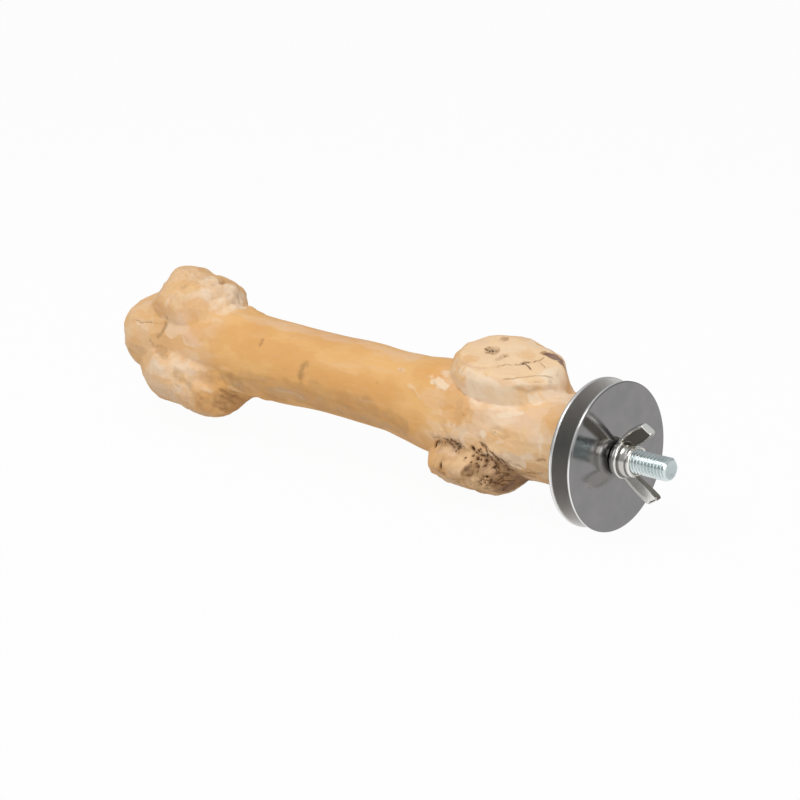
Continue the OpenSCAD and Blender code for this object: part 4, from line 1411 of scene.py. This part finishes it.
@dataclass(frozen=True)
class Metal:
    """A plated or rolled metal: its tint, polish, and the fine lines left on it."""

    name: str
    tint: str
    cloudy: str
    roughness: tuple[float, float]
    line_mm: tuple[float, float, float]
    relief_mm: float
    # Rare light specks: size, the band of noise where they start, and how much they show
    speck_mm: float = 1.6
    speck_band: tuple[float, float] = (0.71, 0.76)
    speck_share: float = 0.5
    speck_tint: str = "E8E8E4"
    cloud_mm: float = 6.0
    # Where the plating is worn it is lighter and scatters more; the lighter tint also paints
    # highlights on the nut's rims and edges
    highlit_wear_tint: str = "F6F5F0"
    rubbed_rough: float = 0.16

    def material(self) -> bpy.types.Material:
        """Builds the material: roughness and relief follow fine lines, and rare specks
        and soft clouds change the tint."""
        mat, tree = fresh(self.name)
        place = add(tree, "ShaderNodeTexCoord").outputs["Object"]
        highlit_wear = add(tree, "ShaderNodeAttribute", {"attribute_name": "highlit_wear"}).outputs["Fac"]
        at = add(tree, "ShaderNodeVectorMath", {"operation": "MULTIPLY"}, i0=place,
                 i1=tuple(1 / (v * MM) for v in self.line_mm))
        lines = add(tree, "ShaderNodeTexNoise", Vector=at.outputs[0], Scale=1.0,
                    Detail=3.0).outputs["Fac"]
        speck = add(tree, "ShaderNodeTexNoise", Vector=place, Scale=1 / (self.speck_mm * MM),
                    Detail=5.0, Roughness=0.7).outputs["Fac"]
        cloud = add(tree, "ShaderNodeTexNoise", Vector=place, Scale=1 / (self.cloud_mm * MM),
                    Detail=2.0).outputs["Fac"]
        polish, specks, clouds = (
            add(tree, "ShaderNodeMapRange", i0=value, i1=low, i2=high, i3=least,
                i4=most).outputs[0]
            for value, (low, high), (least, most) in (
                (lines, (0.3, 0.7), self.roughness),
                (speck, self.speck_band, (0.0, self.speck_share)),
                (cloud, (0.3, 0.7), (0.0, 1.0))))
        rough = add(tree, "ShaderNodeMath", {"operation": "MULTIPLY_ADD"}, i0=highlit_wear,
                    i1=self.rubbed_rough, i2=polish)
        # The last layer lightens the tint where the mesh's share is high: partly worn plating,
        # partly painted highlight
        tint = linear(self.tint)
        for share, over in ((clouds, self.cloudy), (specks, self.speck_tint),
                            (highlit_wear, self.highlit_wear_tint)):
            tint = add(tree, "ShaderNodeMix", {"data_type": "RGBA"}, Factor=share, i6=tint,
                       i7=linear(over)).outputs[2]
        bump = add(tree, "ShaderNodeBump", Height=lines, Strength=0.4,
                   Distance=self.relief_mm * MM)
        shader = add(tree, "ShaderNodeBsdfPrincipled", Base_Color=tint, Metallic=1.0,
                     Roughness=rough.outputs[0], Normal=bump.outputs[0])
        add(tree, "ShaderNodeOutputMaterial", Surface=shader.outputs[0])
        return mat


# Cold-rolled stainless sheet seen on its good side: a satin mirror with rolling lines, its tint
# darkened to a grey that paints the dim surroundings it reflects
DIMMED_SATIN_FACE = Metal("satin stainless steel with painted dim reflection", "8A8888", "818080", (0.1, 0.15),
                   (4.0, 0.25, 9.0), 0.004)
# The sides that face each other: a much lighter tint, painted light against the shade of the gap,
# a softer grey that darkens inwards
LIGHTENED_GAP_FACE = Metal("bright rolled stainless steel", "DAD8D5", "CFCDCA", (0.34, 0.42),
                    (4.0, 0.5, 9.0), 0.002)
# The stamped and tumbled rim: the same steel with a near-white tint, partly polish and partly a
# painted highlight, a white line round each washer
HIGHLIGHT_RIM = Metal("tumbled stainless rim with painted highlight", "F4F4F2", "E8E8E5", (0.2, 0.28),
                   (1.0, 1.0, 1.0), 0.004)
# Bright zinc plating on rolled thread: bluish white and softly shiny
ZINC = Metal("bright zinc plated steel", "E8F0EF", "D4DEDE", (0.2, 0.3),
             (0.6, 0.6, 0.6), 0.005)
# The bolt's sheared end: bare and duller
SHEARED_END = Metal("sheared zinc plated end", "CBD5D5", "B9C4C4", (0.34, 0.44),
                    (0.5, 0.5, 0.5), 0.01)
# Nickel plating on a cast nut: warm grey and glossy, its skin slightly uneven
NICKEL = Metal("nickel plated cast steel", "938F87", "858077", (0.08, 0.14),
               (1.2, 1.2, 1.2), 0.02)


@dataclass
class Studio:
    """The floor, the lamps, the world and the camera."""

    # The photograph's camera: place in mm, direction in degrees, lens on a 36 mm sensor
    camera_at: tuple[float, float, float] = (289.86, -380.31, 140.95)
    azimuth: float = 43.25
    elevation: float = 15.0
    lens: float = 90.0
    floor_below: float = 0.0001
    floor_half: float = 6.0
    paper: str = "DCDCDC"
    paper_glow: float = 0.96
    sky: float = 0.5
    sky_tint: str = "FCFDFF"
    # Lamps: name, place in m, size in m, power in W
    lamps: tuple[tuple[str, tuple[float, float, float], float, float], ...] = (
        ("key", (-0.25, -0.45, 0.85), 0.6, 3.5), ("side", (0.7, -0.5, 0.4), 0.6, 2.6))

    def aim(self, obj: bpy.types.Object, at: Array, back: Array) -> None:
        """Places an object so that its own Z axis points back, level to the side."""
        right = np.cross([0, 0, 1.0], back)
        right /= np.linalg.norm(right)
        turn = np.eye(4)
        turn[:3] = np.stack([right, np.cross(back, right), back, at], 1)
        obj.matrix_world = Matrix(turn.tolist())
        bpy.context.scene.collection.objects.link(obj)

    def camera(self) -> None:
        """Makes the camera: its back vector comes from the azimuth and the elevation."""
        a, e = np.radians(self.azimuth), np.radians(self.elevation)
        data = bpy.data.cameras.new("camera")
        data.lens, data.sensor_width = self.lens, 36.0
        data.clip_start, data.clip_end = 0.01, 30.0
        obj = bpy.data.objects.new("camera", data)
        self.aim(obj, np.array(self.camera_at) * MM,
                 np.array([np.sin(a) * np.cos(e), -np.cos(a) * np.cos(e), np.sin(e)]))
        bpy.context.scene.camera = obj

    def floor(self) -> None:
        """Makes the pale floor, which camera, glossy and transmission rays see near white.

        Its own paper colour still shows for a part, so the object's shadow stays on it.
        """
        mesh = bpy.data.meshes.new("floor")
        h, z = self.floor_half, CAD_BOX[0][2] - self.floor_below
        mesh.from_pydata([(-h, -h, z), (h, -h, z), (h, h, z), (-h, h, z)], [], [(0, 1, 2, 3)])
        obj = bpy.data.objects.new("floor", mesh)
        bpy.context.scene.collection.objects.link(obj)
        mat, tree = fresh("matt white paper")
        path = add(tree, "ShaderNodeLightPath").outputs
        seen = path["Is Camera Ray"]
        for name in ("Is Glossy Ray", "Is Transmission Ray"):
            seen = add(tree, "ShaderNodeMath", {"operation": "MAXIMUM"}, i0=seen,
                       i1=path[name]).outputs[0]
        share = add(tree, "ShaderNodeMath", {"operation": "MULTIPLY"}, i0=seen, i1=self.paper_glow)
        paper = add(tree, "ShaderNodeBsdfDiffuse", Color=linear(self.paper))
        white = add(tree, "ShaderNodeEmission", Color=(1, 1, 1, 1), Strength=1.0)
        both = add(tree, "ShaderNodeMixShader", Fac=share.outputs[0], i1=paper.outputs[0],
                   i2=white.outputs[0])
        add(tree, "ShaderNodeOutputMaterial", Surface=both.outputs[0])
        mesh.materials.append(mat)

    def light(self) -> None:
        """Lights the object plainly: a soft sky, a broad key above and a side lamp."""
        world = bpy.data.worlds.new("studio")
        bpy.context.scene.world = world
        world.use_nodes = True
        tree = world.node_tree
        tree.nodes.clear()
        aim = add(tree, "ShaderNodeTexCoord").outputs["Generated"]
        up = add(tree, "ShaderNodeSeparateXYZ", Vector=aim).outputs["Z"]
        level = add(tree, "ShaderNodeMapRange", {"interpolation_type": "SMOOTHSTEP"},
                    i0=up, i1=-0.1, i2=0.9, i3=0.8 * self.sky, i4=1.15 * self.sky)
        sky = add(tree, "ShaderNodeBackground", Color=linear(self.sky_tint),
                  Strength=level.outputs[0])
        add(tree, "ShaderNodeOutputWorld", Surface=sky.outputs[0])
        for name, at, size, watts in self.lamps:
            data = bpy.data.lights.new(name, "AREA")
            data.shape, data.size, data.energy = "DISK", size, watts
            self.aim(bpy.data.objects.new(name, data), np.array(at),
                     np.array(at) / np.linalg.norm(at))

    def build(self) -> None:
        """Makes everything of the studio and sets the plain view transform."""
        self.camera()
        self.floor()
        self.light()
        bpy.context.scene.view_settings.view_transform = "Standard"


def report(obj: bpy.types.Object) -> None:
    """Logs a piece's name, faces and size."""
    size = [round(v / MM, 1) for v in obj.dimensions]
    LOG.info("%s: %d faces, %s mm", obj.name, len(obj.data.polygons), size)


def main() -> None:
    """Builds the studio and the perch, and says what each piece rides on."""
    logging.basicConfig(level=logging.INFO, format="%(name)s: %(message)s")
    Studio().build()
    for made, body, node, slot in (
        (Branch().build(), "perch", "branch", "sanded_wood"),
        (HangerBolt().build(), "perch", "hanger_bolt", "zinc_steel"),
        (ClampWasher(Side.INNER).build(), "inner_washer", "inner_washer", "stainless_steel"),
        (ClampWasher(Side.OUTER).build(), "outer_washer", "outer_washer", "stainless_steel"),
        (WingNut().build(), "wing_nut", "wing_nut", "nickel_steel"),
    ):
        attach(made, body)
        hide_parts(node)
        report(made)
    bpy.context.view_layer.update()


if __name__ == "__main__":
    main()
